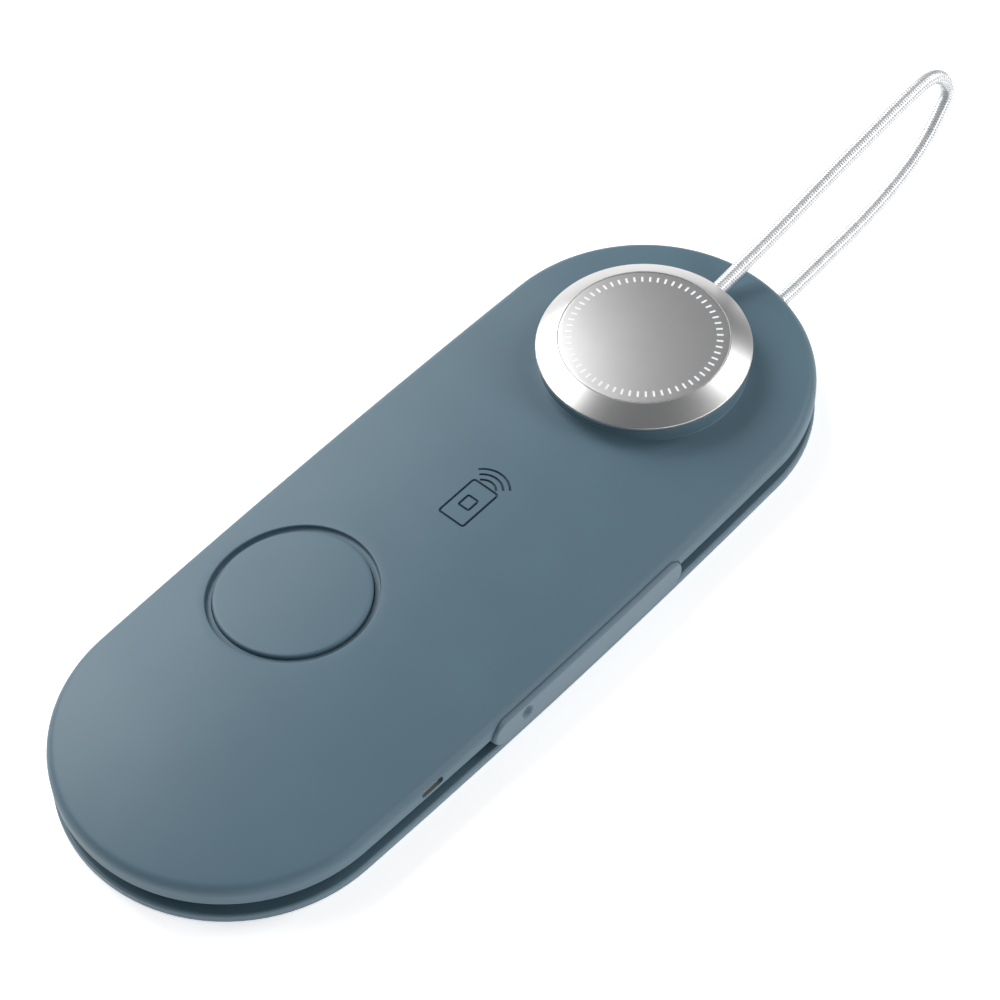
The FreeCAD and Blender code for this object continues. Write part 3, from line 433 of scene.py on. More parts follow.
def prism(outline_rows, skin=None):
    """A closed block: rings stacked in order, with the first and last closed by their own middle point."""
    skin = skin or Skin()
    first, last = outline_rows[0], outline_rows[-1]
    caps = [np.broadcast_to(first.mean(axis=0), first.shape), *outline_rows,
            np.broadcast_to(last.mean(axis=0), last.shape)]
    skin.rows(caps)
    return skin


# The engraved card symbol, in millimetres: its middle, each rounded rectangle's half sizes and corner, the
# waves' centre along the tag and their radii, how wide the waves open, and half the width of a stroke.
SYMBOL_X, SYMBOL_Y = 4.7, 0.8
SYMBOL_CARDS = ((3.0, 1.85, 0.35), (0.85, 0.75, 0.2))
WAVE_X = 6.9
WAVES = (1.7, 2.5, 3.3)
WAVE_OPEN = 0.9
STROKE = 0.13


def symbol_blocks():
    """Blocks that cut the symbol: a tapered section swept round each rectangle and along each wave's arc.

    A rectangle's loop is its corner centres + (corner + across) * (cos a, sin a), and an arc's points are
    its centre + (radius + across) * (cos a, sin a), for each (across, height) of the section.
    """
    skin = Skin()
    foot, mouth, deep, above = STROKE * 0.7, STROKE * 1.2, -0.24, 0.06
    section = [(across * MM, RIDGE + height * MM) for across, height in
               ((-foot, deep), (foot, deep), (mouth, above), (-mouth, above))]
    steps = 8
    angle = (np.linspace(0.0, math.pi / 2, steps)[None] + np.arange(4)[:, None] * math.pi / 2).ravel()
    way = np.column_stack([np.cos(angle), np.sin(angle)])
    side = np.repeat([[1.0, 1.0], [-1.0, 1.0], [-1.0, -1.0], [1.0, -1.0]], steps, axis=0)
    for half_x, half_y, corner in SYMBOL_CARDS:
        middle = (np.array([SYMBOL_X, SYMBOL_Y]) + side * (np.array([half_x, half_y]) - corner)) * MM
        skin.rows([at_height(middle + way * (corner * MM + across), height) for across, height in section],
                  closed=True)
    reach = math.atan(1 / WAVE_OPEN)
    for wave in WAVES:
        loops = []
        for turn in np.linspace(-reach, reach, 28):
            radius = np.array([wave * MM + across for across, height in section])
            loops.append(np.column_stack([WAVE_X * MM + radius * math.cos(turn), SYMBOL_Y * MM
                                          + radius * math.sin(turn), [height for across, height in section]]))
        prism(loops, skin)
    return skin


# ---------------------------------------------------------------- finishes


class Wire:
    """A node's output. Its + - * and math() add Math nodes."""

    def __init__(self, finish, socket):
        self.finish, self.socket = finish, socket

    def __getitem__(self, name):
        return Wire(self.finish, self.socket.node.outputs[name])

    def math(self, operation, other=None, swapped=False):
        values = [self] if other is None else [other, self] if swapped else [self, other]
        return self.finish.node("ShaderNodeMath", {"operation": operation}, dict(enumerate(values)))

    def __add__(self, other):
        return self.math("ADD", other)

    __radd__ = __add__

    def __sub__(self, other):
        return self.math("SUBTRACT", other)

    def __rsub__(self, other):
        return self.math("SUBTRACT", other, swapped=True)

    def __mul__(self, other):
        return self.math("MULTIPLY", other)

    __rmul__ = __mul__

    def __abs__(self):
        return self.math("ABSOLUTE")


class Finish:
    """A procedural material: node() adds any node, settings first and then its sockets."""

    def __init__(self, name, **fixed):
        self.material = bpy.data.materials.new("tag_" + name)
        self.material.use_nodes = True
        self.tree = self.material.node_tree
        self.shader = self.tree.nodes["Principled BSDF"]
        for socket, value in fixed.items():
            self.set(socket.replace("_", " "), value)
        self.place = self.node("ShaderNodeTexCoord")["Object"]

    def set(self, socket, value):
        """Sets or links one of the shader's sockets."""
        self.put(self.shader.inputs[socket], value)

    def put(self, socket, value):
        """Gives a socket a wire's link, or a number or colour."""
        if isinstance(value, Wire):
            self.tree.links.new(value.socket, socket)
        elif hasattr(socket.default_value, "__len__") and not isinstance(value, str):
            value = tuple(value)
            socket.default_value = value + (1.0,) * (len(socket.default_value) - len(value))
        else:
            socket.default_value = value

    def node(self, kind, settings=None, inputs=None):
        """Adds a node and returns its first output."""
        node = self.tree.nodes.new(kind)
        for name, value in (settings or {}).items():
            setattr(node, name, value)
        for name, value in (inputs or {}).items():
            socket = node.inputs[name] if isinstance(name, int) else next(
                s for s in node.inputs if s.enabled and name in (s.name, s.identifier))
            self.put(socket, value)
        return Wire(self, next(s for s in node.outputs if s.enabled))

    def noise(self, grain, detail=2.0):
        """Noise whose lumps are about grain metres across, 0 to 1."""
        return self.node("ShaderNodeTexNoise", None,
                         {"Vector": self.place, "Scale": 1.0 / grain, "Detail": detail, "Roughness": 0.55})

    def mix(self, factor, first, second):
        """A colour between first and second."""
        return self.node("ShaderNodeMix", {"data_type": "RGBA"},
                         {"Factor": factor, "A": first, "B": second})

    def steps(self, value, low, high):
        """0 below low, 1 above high and smooth between."""
        return self.node("ShaderNodeMapRange", {"interpolation_type": "SMOOTHSTEP"},
                         {"Value": value, "From Min": low, "From Max": high})

    def split(self):
        """The place's X, Y and Z."""
        xyz = self.node("ShaderNodeSeparateXYZ", None, {"Vector": self.place})
        return xyz["X"], xyz["Y"], xyz["Z"]

    def bump(self, height, distance):
        """Raises the surface by height times distance."""
        return self.node("ShaderNodeBump", None, {"Height": height, "Distance": distance})


def shade(tint, factor):
    """The colour times a factor."""
    return tuple(min(1.0, value * factor) for value in tint[:3])


def moulded(name, tint, rough, grain=0.12 * MM, depth=0.004 * MM, spread=0.06, **fixed):
    """Moulded plastic: fine spark-eroded grain, a slow change of tone and slightly uneven gloss."""
    finish = Finish(name, **fixed)
    fine, slow = finish.noise(grain), finish.noise(9 * MM, 1.0)
    finish.set("Base Color", finish.mix(slow, shade(tint, 1 - spread), shade(tint, 1 + spread)))
    finish.set("Roughness", rough - 0.04 + fine * 0.08)
    finish.set("Normal", finish.bump(fine, depth))
    return finish


def symbol_shade_mask(finish):
    """1 on the strokes of a card with a chip and three waves at its right, on the top, where the painted shade
    goes, and 0 elsewhere.

    A stroke is where the distance to its line is under half its width. The card's and the chip's lines
    are rounded rectangles, and each wave is a circle round one point, kept within a wedge.
    """
    x, y, z = finish.split()
    half_stroke = STROKE * MM
    soft, side_foot = 0.05 * MM, 7.4 * MM
    card_x, card_y = SYMBOL_X * MM, SYMBOL_Y * MM
    strokes = None
    for half_x, half_y, corner in SYMBOL_CARDS:
        over_x = (abs(x - card_x) - (half_x - corner) * MM).math("MAXIMUM", 0.0)
        over_y = (abs(y - card_y) - (half_y - corner) * MM).math("MAXIMUM", 0.0)
        to_line = abs((over_x * over_x + over_y * over_y).math("SQRT") - corner * MM)
        line = 1.0 - finish.steps(to_line, half_stroke, half_stroke + soft)
        strokes = line if strokes is None else strokes.math("MAXIMUM", line)
    wave_x = x - WAVE_X * MM
    wave_y = y - card_y
    radius = (wave_x * wave_x + wave_y * wave_y).math("SQRT")
    wedge = (wave_x - abs(wave_y) * WAVE_OPEN).math("GREATER_THAN", 0.0)
    for wave in WAVES:
        line = 1.0 - finish.steps(abs(radius - wave * MM), half_stroke, half_stroke + soft)
        strokes = strokes.math("MAXIMUM", line * wedge)
    return strokes * z.math("GREATER_THAN", side_foot)


def shell_finish(tint):
    """The housing's plastic, with painted shade darkening the strokes of the engraved symbol on its top."""
    finish = moulded("shell_plastic", tint, 0.47, Specular_IOR_Level=0.36)
    engraved = symbol_shade_mask(finish)
    # Painted shade: the strokes' colour is pulled towards this dark teal, standing in for the shade inside the
    # engraved grooves.
    deep = (tint[0] * 0.12, tint[1] * 0.24, tint[2] * 0.32)
    plain = finish.shader.inputs["Base Color"].links[0].from_socket
    finish.set("Base Color", finish.mix(engraved * 0.6, Wire(finish, plain), deep))


def silicone_finish(tint):
    """Soft silicone: satin, faintly dusty, with a slow change of tone."""
    moulded("flap_silicone", tint, 0.50, grain=0.2 * MM, depth=0.003 * MM, spread=0.04,
            Sheen_Weight=0.12, Sheen_Roughness=0.5, Specular_IOR_Level=0.4)


def metal_finish(name, tint, rough, brush=0.0, centre=None, ticks=False):
    """Metal with fine turning lines round the centre, where brush is above 0, and printed ticks if asked."""
    finish = Finish(name, Metallic=1.0)
    x, y, z = finish.split()
    fine = finish.noise(0.25 * MM)
    base = finish.mix(finish.noise(3 * MM, 1.0), shade(tint, 0.97), shade(tint, 1.03))
    level = rough - 0.03 + fine * 0.06
    if brush:
        off_x, off_y = x - centre.x, y - centre.y
        radius = (off_x * off_x + off_y * off_y).math("SQRT")
        lines = finish.node("ShaderNodeTexNoise", {"noise_dimensions": "1D"},
                            {"W": radius, "Scale": 1.0 / (0.07 * MM), "Detail": 3.0})
        level = level + (lines - 0.5) * 0.10
        finish.set("Normal", finish.bump(lines, brush))
    if ticks:
        count, middle_radius, whole_turns = 60.0, 8.9 * MM, 400.0
        turn = off_y.math("ARCTAN2", off_x) * (count / (2 * math.pi))
        near = abs((turn + (whole_turns + 0.5)).math("FRACT") - 0.5) * (2 * math.pi / count) * radius
        mark = 1.0 - finish.steps(near, 0.10 * MM, 0.15 * MM)
        band = 1.0 - finish.steps(abs(radius - middle_radius), 0.36 * MM, 0.42 * MM)
        printed = mark * band
        base = finish.mix(printed, base, (0.86, 0.88, 0.90))
        finish.set("Metallic", 1.0 - printed)
        level = level + printed * 0.2
    finish.set("Base Color", base)
    finish.set("Roughness", level)


def braid_finish(tint):
    """Bright metal-faced yarn, with painted shade darkening the gaps between the yarns."""
    finish = Finish("braid", Specular_IOR_Level=0.6)
    yarn = finish.node("ShaderNodeAttribute", {"attribute_name": "yarn"})["Fac"]
    wear = finish.noise(1.5 * MM)
    # Painted shade: where the yarn's height falls into a gap, the colour drops to a third of the tint.
    finish.set("Base Color", finish.mix(finish.steps(yarn, 0.35, 0.85),
                                        shade(tint, 0.30), finish.mix(wear, shade(tint, 0.95), tint)))
    finish.set("Roughness", 0.40 - yarn * 0.12)
    finish.set("Metallic", yarn * 0.2 + 0.38)
    finish.set("Normal", finish.bump(finish.noise(0.08 * MM), 0.01 * MM))


def plain_finish(name, tint, rough, grain, depth, metallic):
    """A finish for an inner part: its own colour with fine grain in tone, gloss and height."""
    finish = Finish(name, Metallic=metallic)
    fine = finish.noise(grain * MM)
    finish.set("Base Color", finish.mix(fine, shade(tint, 0.88), shade(tint, 1.1)))
    finish.set("Roughness", rough - 0.05 + fine * 0.1)
    finish.set("Normal", finish.bump(fine, depth * MM))


def board_finish():
    """Circuit board: green lacquer over fine copper tracks, with tinned pads."""
    finish = Finish("board", Coat_Weight=0.4, Coat_Roughness=0.2)
    x, y, z = finish.split()
    tracks = finish.node("ShaderNodeTexBrick", {"offset": 0.5, "squash": 1.0},
                         {"Vector": finish.place, "Scale": 450.0, "Mortar Size": 0.06,
                          "Color1": (0.0, 0.0, 0.0), "Color2": (0.15, 0.15, 0.15), "Mortar": (1.0, 1.0, 1.0)})
    line = tracks["Fac"]
    pads = 1.0 - finish.steps(finish.node("ShaderNodeTexVoronoi", None, {"Vector": finish.place, "Scale": 420.0})
                              ["Distance"], 0.14, 0.2)
    green = finish.mix(line, (0.012, 0.085, 0.045), (0.03, 0.17, 0.085))
    finish.set("Base Color", finish.mix(pads, green, (0.72, 0.70, 0.66)))
    finish.set("Metallic", pads * 0.9)
    finish.set("Roughness", 0.38 - pads * 0.1)
    finish.set("Normal", finish.bump(line + pads, 0.03 * MM))


def woven_finish():
    """Woven bronze wire: over-and-under ribs from two crossed sine waves, with painted shade in the weave's
    hollows.
    """
    finish = Finish("bronze_mesh", Metallic=0.35)
    x, y, z = finish.split()
    pitch = 2 * math.pi / (0.22 * MM)
    warp, weft = (x * pitch).math("SINE"), (z * pitch).math("SINE")
    weave = warp * weft * 0.5 + 0.5
    # Painted shade: the colour goes dark brown where the wires dip under, in the weave's hollows.
    finish.set("Base Color", finish.mix(weave, (0.16, 0.10, 0.07), (0.58, 0.42, 0.31)))
    finish.set("Roughness", 0.5 - weave * 0.15)
    finish.set("Normal", finish.bump(weave, 0.04 * MM))


# Inner parts' finishes: colour, roughness, the grain's size and depth in millimetres, and how metallic.
PLAIN = {
    "card": ((0.72, 0.74, 0.75), 0.6, 0.3, 0.01, 0.0),
    "slip_plastic": ((0.60, 0.61, 0.60), 0.35, 0.4, 0.004, 0.0),
    "seal_rubber": ((0.018, 0.019, 0.020), 0.7, 0.15, 0.01, 0.0),
    "steel": ((0.56, 0.57, 0.58), 0.28, 0.2, 0.003, 1.0),
    "tin": ((0.70, 0.70, 0.68), 0.34, 0.5, 0.004, 1.0),
    "chip": ((0.020, 0.021, 0.023), 0.45, 0.12, 0.006, 0.0),
    "connector": ((0.74, 0.70, 0.60), 0.45, 0.2, 0.004, 0.0),
    "ceramic": ((0.78, 0.76, 0.70), 0.4, 0.1, 0.004, 0.0),
    "cell_foil": ((0.62, 0.63, 0.65), 0.3, 1.2, 0.03, 0.9),
    "foam": ((0.03, 0.03, 0.032), 0.9, 0.3, 0.08, 0.0),
    "lead": ((0.42, 0.03, 0.025), 0.45, 0.2, 0.004, 0.0),
    "ferrite": ((0.05, 0.05, 0.055), 0.55, 0.1, 0.006, 0.0),
}


def finishes():
    """Makes every material slot's finish, once."""
    colours = bpy.context.scene.tag_colours
    shell, metal = tuple(colours.shell), tuple(colours.metal)
    shell_finish(shell)
    moulded("plate_plastic", tuple(colours.plate), 0.42)
    # Painted shade: the lower shell's plastic is the housing's colour darkened, for the shade in the gap under the
    # housing.
    moulded("tub_shaded_plastic", shade(shell, 0.55), 0.5)
    silicone_finish(tuple(colours.silicone))
    for name, given in PLAIN.items():
        plain_finish(name, *given)
    board_finish()
    woven_finish()
    metal_finish("copper", (0.72, 0.36, 0.20), 0.3)
    metal_finish("brass", (0.70, 0.52, 0.26), 0.28)
    metal_finish("cap_metal", metal, 0.34, 0.0010 * MM, CAP_CENTRE)
    metal_finish("cap_satin", shade(metal, 1.16), 0.35, 0.0016 * MM, CAP_CENTRE, ticks=True)
    braid_finish(tuple(colours.cable))


def finish_of(slot):
    """The finish made for a material slot."""
    found = bpy.data.materials.get("tag_" + slot)
    if found is None:
        raise RuntimeError("no finish is made for " + slot)
    return found


# ---------------------------------------------------------------- pieces


class TAG_OT_finishes(bpy.types.Operator):
    """Make every finish"""

    bl_idname = "tag.finishes"
    bl_label = "Finishes"

    def execute(self, context):
        finishes()
        return {"FINISHED"}


class TAG_OT_shell(bpy.types.Operator):
    """Build the upper housing with its groove and collar"""

    bl_idname = "tag.shell"
    bl_label = "Housing"

    def execute(self, context):
        """The outline's rings make the wall and edge, and crowned fields make the top and ceiling."""
        sizes = context.scene.tag_shell
        low = SHELL_LOW.z
        skin = Skin()
        edge, lower_round = sizes.edge_round, 0.2 * MM
        radius = sizes.crown_radius
        apart = spine_distance(outline(edge))
        rise = np.sqrt((radius - edge) ** 2 - apart ** 2)
        pivot = RIDGE - radius + rise
        lean = np.arctan2(rise, apart)
        rows = []
        for turn in np.linspace(-math.pi / 2, 0.0, 5):
            inset = lower_round * (1 - math.cos(turn))
            rows.append(at_height(outline(inset), low + lower_round * (1 + math.sin(turn))))
        for part in np.linspace(0.0, 1.0, 7)[1:]:
            rows.append(at_height(outline(0.0), (low + lower_round) * (1 - part) + pivot * part))
        for part in np.linspace(0.0, 1.0, 13)[1:]:
            turn = lean * part
            rows.append(at_height(outline(edge * (1 - np.cos(turn))), pivot + edge * np.sin(turn)))
        rim = rows[-1][:, :2]
        inner = outline(sizes.skirt)
        ceiling = crown(inner, sizes.roof)
        under = [at_height(inner, ceiling * (1 - part) + low * part) for part in np.linspace(0.0, 1.0, 4)]
        skin.rows([*under, *rows])

        button = np.array([BUTTON_CENTRE.x, BUTTON_CENTRE.y])
        lip, lip_round = sizes.lip_radius, 0.15 * MM
        floor_radius = context.scene.tag_trim.button_radius + 0.10 * MM
        deep, foot = sizes.groove_depth, 0.25 * MM
        groove = []
        for turn in np.linspace(0.0, math.pi / 2, 6):
            groove.append((lip + lip_round * (1 - math.sin(turn)), lip_round * (1 - math.cos(turn))))
        for turn in np.linspace(0.0, math.pi / 2, 5):
            groove.append((lip - foot * (1 - math.cos(turn)), deep - foot * (1 - math.sin(turn))))
        groove += [(floor_radius, deep), (floor_radius, sizes.roof)]
        around = 220
        skin.rows([at_height(flat, crown(flat, drop)) for flat, drop in
                   ((ring(button, r, around), drop) for r, drop in groove)])

        cap = np.array([CAP_CENTRE.x, CAP_CENTRE.y])
        collar, fillet, shoulder = sizes.collar_radius, 0.12 * MM, 0.2 * MM
        top = sizes.collar_top
        rows = []
        for turn in np.linspace(0.0, math.pi / 2, 6):
            flat = ring(cap, collar + fillet * (1 - math.sin(turn)), around)
            rows.append(at_height(flat, crown(flat) + fillet * (1 - math.cos(turn))))
        for turn in np.linspace(0.0, math.pi / 2, 5):
            flat = ring(cap, collar - shoulder * (1 - math.cos(turn)), around)
            rows.append(at_height(flat, top - shoulder * (1 - math.sin(turn))))
        boss = collar - 0.4 * MM
        for r, z in ((sizes.bore_radius, top), (sizes.bore_radius, sizes.boss_foot), (boss, sizes.boss_foot)):
            rows.append(at_height(ring(cap, r, around), z))
        flat = ring(cap, boss, around)
        rows.append(at_height(flat, crown(flat, sizes.roof)))
        skin.rows(rows)

        field(skin, rim, [(button, lip + lip_round, around), (cap, collar + fillet, around)], crown, 0.9 * MM)
        field(skin, inner, [(button, floor_radius, around), (cap, boss, around)],
              lambda flat: crown(flat, sizes.roof), 2.0 * MM)
        gap, outside, niche_back, slot_back = 0.09 * MM, -24 * MM, -19.15 * MM, -18.0 * MM
        x, z = stadium(FLAP_LOW.x - gap, ANCHOR_HIGH.x + gap, FLAP_LOW.z - gap, FLAP_HIGH.z + gap, 0.0)
        niche = prism([at_depth(x, y, z) for y in (outside, niche_back)])
        x, z = stadium(MESH_LOW.x, MESH_HIGH.x, MESH_LOW.z, MESH_HIGH.z, 0.0)
        slot = prism([at_depth(x, y, z) for y in (outside, slot_back)])
        angle = np.linspace(0.0, 2 * math.pi, 40, endpoint=False)
        half = 1.0 * MM
        cable_middles = ((39.2 * MM, 8.35 * MM), (43.6 * MM, 8.4 * MM), (48.6 * MM, 9.0 * MM))
        notch = prism([np.stack([np.full_like(angle, x), half * np.cos(angle), z + half * np.sin(angle)], axis=1)
                       for x, z in cable_middles])
        cutters = [part.mesh("cutter") for part in (niche, slot, notch, symbol_blocks())]
        mesh = carve(skin.mesh("shell_cover"), cutters, "shell_cover")
        place("shell_cover", mesh, "housing", "shell_plastic", ("top_shell", "button_membrane"), sharp=32)
        return {"FINISHED"}


class TAG_OT_button(bpy.types.Operator):
    """Build the soft button"""

    bl_idname = "tag.button"
    bl_label = "Button"

    def execute(self, context):
        """Rings round the button's centre at (r, drop), each point at the crown's height less its drop."""
        sizes = context.scene.tag_trim
        centre = np.array([BUTTON_CENTRE.x, BUTTON_CENTRE.y])
        radius, edge, thick = sizes.button_radius, sizes.button_edge, sizes.button_thickness
        profile = [(r, 0.0) for r in np.linspace(0.0, radius - edge, 22)]
        profile += [(radius - edge + edge * math.sin(turn), edge * (1 - math.cos(turn)))
                    for turn in np.linspace(0.0, math.pi / 2, 8)[1:]]
        stub, tip, stub_end = 2.2 * MM, 2.0 * MM, thick + 0.6 * MM
        profile += [(radius, thick), (stub, thick), (tip, stub_end), (0.0, stub_end)]
        skin = Skin()
        rows = []
        for r, drop in profile:
            flat = ring(centre, r, 200)
            rows.append(at_height(flat, crown(flat) - drop))
        skin.rows(rows)
        place("soft_button", skin.mesh("soft_button"), "button", "shell_plastic", ("button_cap",), sharp=40)
        return {"FINISHED"}


class TAG_OT_flap(bpy.types.Operator):
    """Build the port's silicone flap, which bends beside its fixed end"""

    bl_idname = "tag.flap"
    bl_label = "Port flap"

    def execute(self, context):
        """Ovals inset step by step over the face; the bulge is the upper half of an ellipse across the edge."""
        sizes = context.scene.tag_trim
        x0, x1, z0, z1 = FLAP_LOW.x, ANCHOR_HIGH.x, FLAP_LOW.z, FLAP_HIGH.z
        skin = Skin()
        radius = (z1 - z0) / 2
        sunk, roll = 0.12 * MM, 0.34 * MM
        back, back_round = 1.75 * MM, 0.05 * MM
        dent_x, dent_z, dent_half_x, dent_half_z = -10.1 * MM, 3.9 * MM, 0.72 * MM, 0.80 * MM
        dent_deep = 0.55 * MM
        rows = []
        insets = np.concatenate([radius - (radius - roll) * np.linspace(0.0, 1.0, 14),
                                 roll * (1 - np.sin(np.linspace(0.0, math.pi / 2, 12)[1:]))])
        for inset in insets:
            x, z = stadium(x0, x1, z0, z1, inset, 44, 150)
            part = min(inset / roll, 1.0)
            rise = (sizes.flap_bulge + sunk) * math.sqrt(1 - (1 - part) ** 2) - sunk
            off = np.hypot((x - dent_x) / dent_half_x, (z - dent_z) / dent_half_z)
            dent = np.clip((1.25 - off) / 0.6, 0.0, 1.0)
            rows.append(at_depth(x, wall_y(x) - rise + dent_deep * dent ** 2 * (3 - 2 * dent), z))
        for inset, depth in ((0.0, back), (0.25 * MM, back + back_round), (radius, back + back_round)):
            x, z = stadium(x0, x1, z0, z1, inset, 44, 150)
            rows.append(at_depth(x, wall_y(x) + depth, z))
        skin.rows(rows)
        plug = (-3.0 * MM, 4.2 * MM, 2.65 * MM, 4.55 * MM)
        closed, root, tip = 1.05 * MM, -19.5 * MM, -17.3 * MM
        rows = []
        for inset, y in ((closed, root), (0.0, root), (0.0, tip - 0.3 * MM), (0.15 * MM, tip), (closed, tip)):
            x, z = stadium(*plug, inset, 16, 24)
            rows.append(at_depth(x, y, z))
        skin.rows(rows)
        mesh = skin.mesh("port_cover")
        piece = place("port_cover", mesh, None, "flap_silicone", sharp=50)
        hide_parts("port_flap", "flap_anchor")
        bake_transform(piece, "housing", "flap", start=(13.4 * MM, -20.5 * MM, 3.5 * MM),
                 end=(10.6 * MM, -20.5 * MM, 3.5 * MM))
        return {"FINISHED"}


class TAG_OT_cap(bpy.types.Operator):
    """Build the screw cap's bevelled ring and its disc"""

    bl_idname = "tag.cap"
    bl_label = "Screw cap"

    def execute(self, context):
        """Two profiles of rounded corners turned about the cap's upright middle line."""
        sizes = context.scene.tag_trim
        centre = np.array([CAP_CENTRE.x, CAP_CENTRE.y])
        low, high, outer = BEZEL_LOW.z, BEZEL_HIGH.z, (BEZEL_HIGH.x - BEZEL_LOW.x) / 2
        disc, seat, bevel = sizes.disc_radius, sizes.disc_seat, sizes.cap_bevel_foot
        hole, lip, slack = disc - 1.5 * MM, disc + 0.14 * MM, disc + 0.02 * MM
        ring_profile = rounded([
            (hole, low, 0.0),
            (outer - 0.35 * MM, low, 0.12 * MM),
            (outer, low + 0.3 * MM, 0.10 * MM),
            (outer, bevel, 0.16 * MM),
            (lip, high, 0.06 * MM),
            (slack, high, 0.02 * MM),
            (slack, seat, 0.0),
            (hole, seat, 0.0),
        ], 5)
        skin = Skin()
        revolve(skin, ring_profile, centre, 240)
        place("cap_ring", skin.mesh("cap_ring"), "cap", "cap_metal", ("cap_bezel",), sharp=35)
        top, face, edge = DISC_HIGH.z, BEZEL_HIGH.z - 0.02 * MM, 0.05 * MM
        dome = (top - face) / disc ** 2
        rim = np.linspace(0.0, disc - edge, 26)
        profile = [np.column_stack([rim, top - dome * rim ** 2])]
        turn = np.linspace(0.0, math.pi / 2, 6)[1:]
        profile.append(np.column_stack([disc - edge + edge * np.sin(turn),
                                        top - dome * rim[-1] ** 2 - edge * (1 - np.cos(turn))]))
        profile.append(np.array([[disc, seat], [0.0, seat]]))
        skin = Skin()
        revolve(skin, np.concatenate(profile), centre, 240, closed=False)
        place("cap_face", skin.mesh("cap_face"), "cap", "cap_satin", ("cap_disc",), sharp=35)
        return {"FINISHED"}


class TAG_OT_cable(bpy.types.Operator):
    """Build the braided cable loop along its route"""

    bl_idname = "tag.cable"
    bl_label = "Cable loop"

    def execute(self, context):
        """Rings round the route: point + r (cos a side + sin a up), with r raised where a yarn passes over.

        Two families of yarns wind opposite ways; each yarn's back is |cos| of its own phase, and the one
        on top changes at every crossing.
        """
        sizes = context.scene.tag_trim
        radius, yarns, pitch = sizes.cable_diameter / 2, sizes.cable_yarns, sizes.braid_pitch
        line = route_line(CABLE_ROUTE)
        step = np.linalg.norm(np.diff(line, axis=0), axis=1)
        along = np.concatenate([[0.0], np.cumsum(step)])
        rings, around = 1560, 56
        s = np.linspace(0.0, along[-1], rings)
        middle = np.stack([np.interp(s, along, line[:, axis]) for axis in range(3)], axis=1)
        ahead = np.gradient(middle, axis=0)
        ahead /= np.linalg.norm(ahead, axis=1, keepdims=True)
        side = np.array([0.0, 1.0, 0.0]) - ahead[:, 1:2] * ahead
        side /= np.linalg.norm(side, axis=1, keepdims=True)
        up = np.cross(ahead, side)
        angle = np.linspace(0.0, 2 * math.pi, around, endpoint=False)
        phase = angle[None, :] / (2 * math.pi) * yarns
        first, second = phase + s[:, None] / pitch, phase - s[:, None] / pitch
        over = 0.5 + 0.5 * np.sin(math.pi * (first + second)) * np.sign(np.cos(math.pi * (first - second)))
        flat, dip, raised = 0.6, 0.38, 0.06 * MM
        back_first = np.abs(np.cos(math.pi * first)) ** flat * (1.0 - dip + dip * over)
        back_second = np.abs(np.cos(math.pi * second)) ** flat * (1.0 - dip * over)
        yarn = np.maximum(back_first, back_second)
        reach = radius + raised * (yarn - 0.6)
        surface = (middle[:, None, :] + reach[..., None] * (np.cos(angle)[None, :, None] * side[:, None, :]
                                                          + np.sin(angle)[None, :, None] * up[:, None, :]))
        skin = Skin()
        skin.rows([np.broadcast_to(middle[0], (around, 3)), *surface, np.broadcast_to(middle[-1], (around, 3))])
        mesh = skin.unwelded("cable_braid")
        # Each point's yarn height, which the braid's finish also turns into painted shade in the gaps.
        tone = mesh.attributes.new("yarn", "FLOAT", "POINT")
        tone.data.foreach_set("value", np.concatenate([np.zeros(around), yarn.ravel(), np.zeros(around)]))
        with editing(mesh) as work:
            ends = [v for v in work.verts if v.index < around or v.index >= len(work.verts) - around]
            bmesh.ops.remove_doubles(work, verts=ends, dist=1e-7)
            bmesh.ops.recalc_face_normals(work, faces=work.faces)
        piece = place("cable_braid", mesh, "housing", "braid", ("cable_loop",), sharp=180)
        return {"FINISHED"}


def route_line(route):
    """Points along the smooth line of a route's control points."""
    curve = bpy.data.curves.new("cable_route", "CURVE")
    curve.dimensions = "3D"
    curve.resolution_u = 24
    spline = curve.splines.new("NURBS")
    spline.points.add(len(route) - 1)
    spline.points.foreach_set("co", np.column_stack([route, np.ones(len(route))]).ravel())
    spline.order_u = 3
    spline.use_endpoint_u = True
    holder = stand("cable_route", curve)
    bpy.context.view_layer.update()
    traced = bpy.data.meshes.new_from_object(holder)
    points = np.empty(len(traced.vertices) * 3)
    traced.vertices.foreach_get("co", points)
    bpy.data.objects.remove(holder)
    bpy.data.curves.remove(curve)
    bpy.data.meshes.remove(traced)
    return points.reshape(-1, 3)


class TAG_OT_carried(bpy.types.Operator):
    """Give the remaining parts their finishes, and smooth the visible ones"""

    bl_idname = "tag.carried"
    bl_label = "Inner parts and plate"

    def execute(self, context):
        slots = {part["node"]: part["material_slot"] for part in frame["record"]["subparts"]}
        for name, node in frame["nodes"].items():
            if node.hide_render:
                continue
            slot = slots[name]
            # The lower shell takes the darkened plastic, painted shade for the gap it sits in.
            finish = finish_of("tub_shaded_plastic" if name == "base_shell" else slot)
            if name in SMOOTHED:
                mesh = node.data.copy()
                mesh.name = name + "_smooth"
                with editing(mesh) as work:
                    bmesh.ops.remove_doubles(work, verts=work.verts, dist=1e-6)
                piece = place(name + "_smooth", mesh, body_of(node)[0], slot, (name,), 24, finish)
                weigh = piece.modifiers.new("flat_faces_stay_flat", "WEIGHTED_NORMAL")
                weigh.keep_sharp, weigh.weight = True, 80
            else:
                node.data.materials.clear()
                node.data.materials.append(finish)
        return {"FINISHED"}


SMOOTHED = ("swivel_plate", "base_shell", "pivot_post", "post_retainer", "friction_washer", "cap_washer",
            "cap_stud", "sounder_plate", "sounder_ceramic", "battery")


# ---------------------------------------------------------------- stage


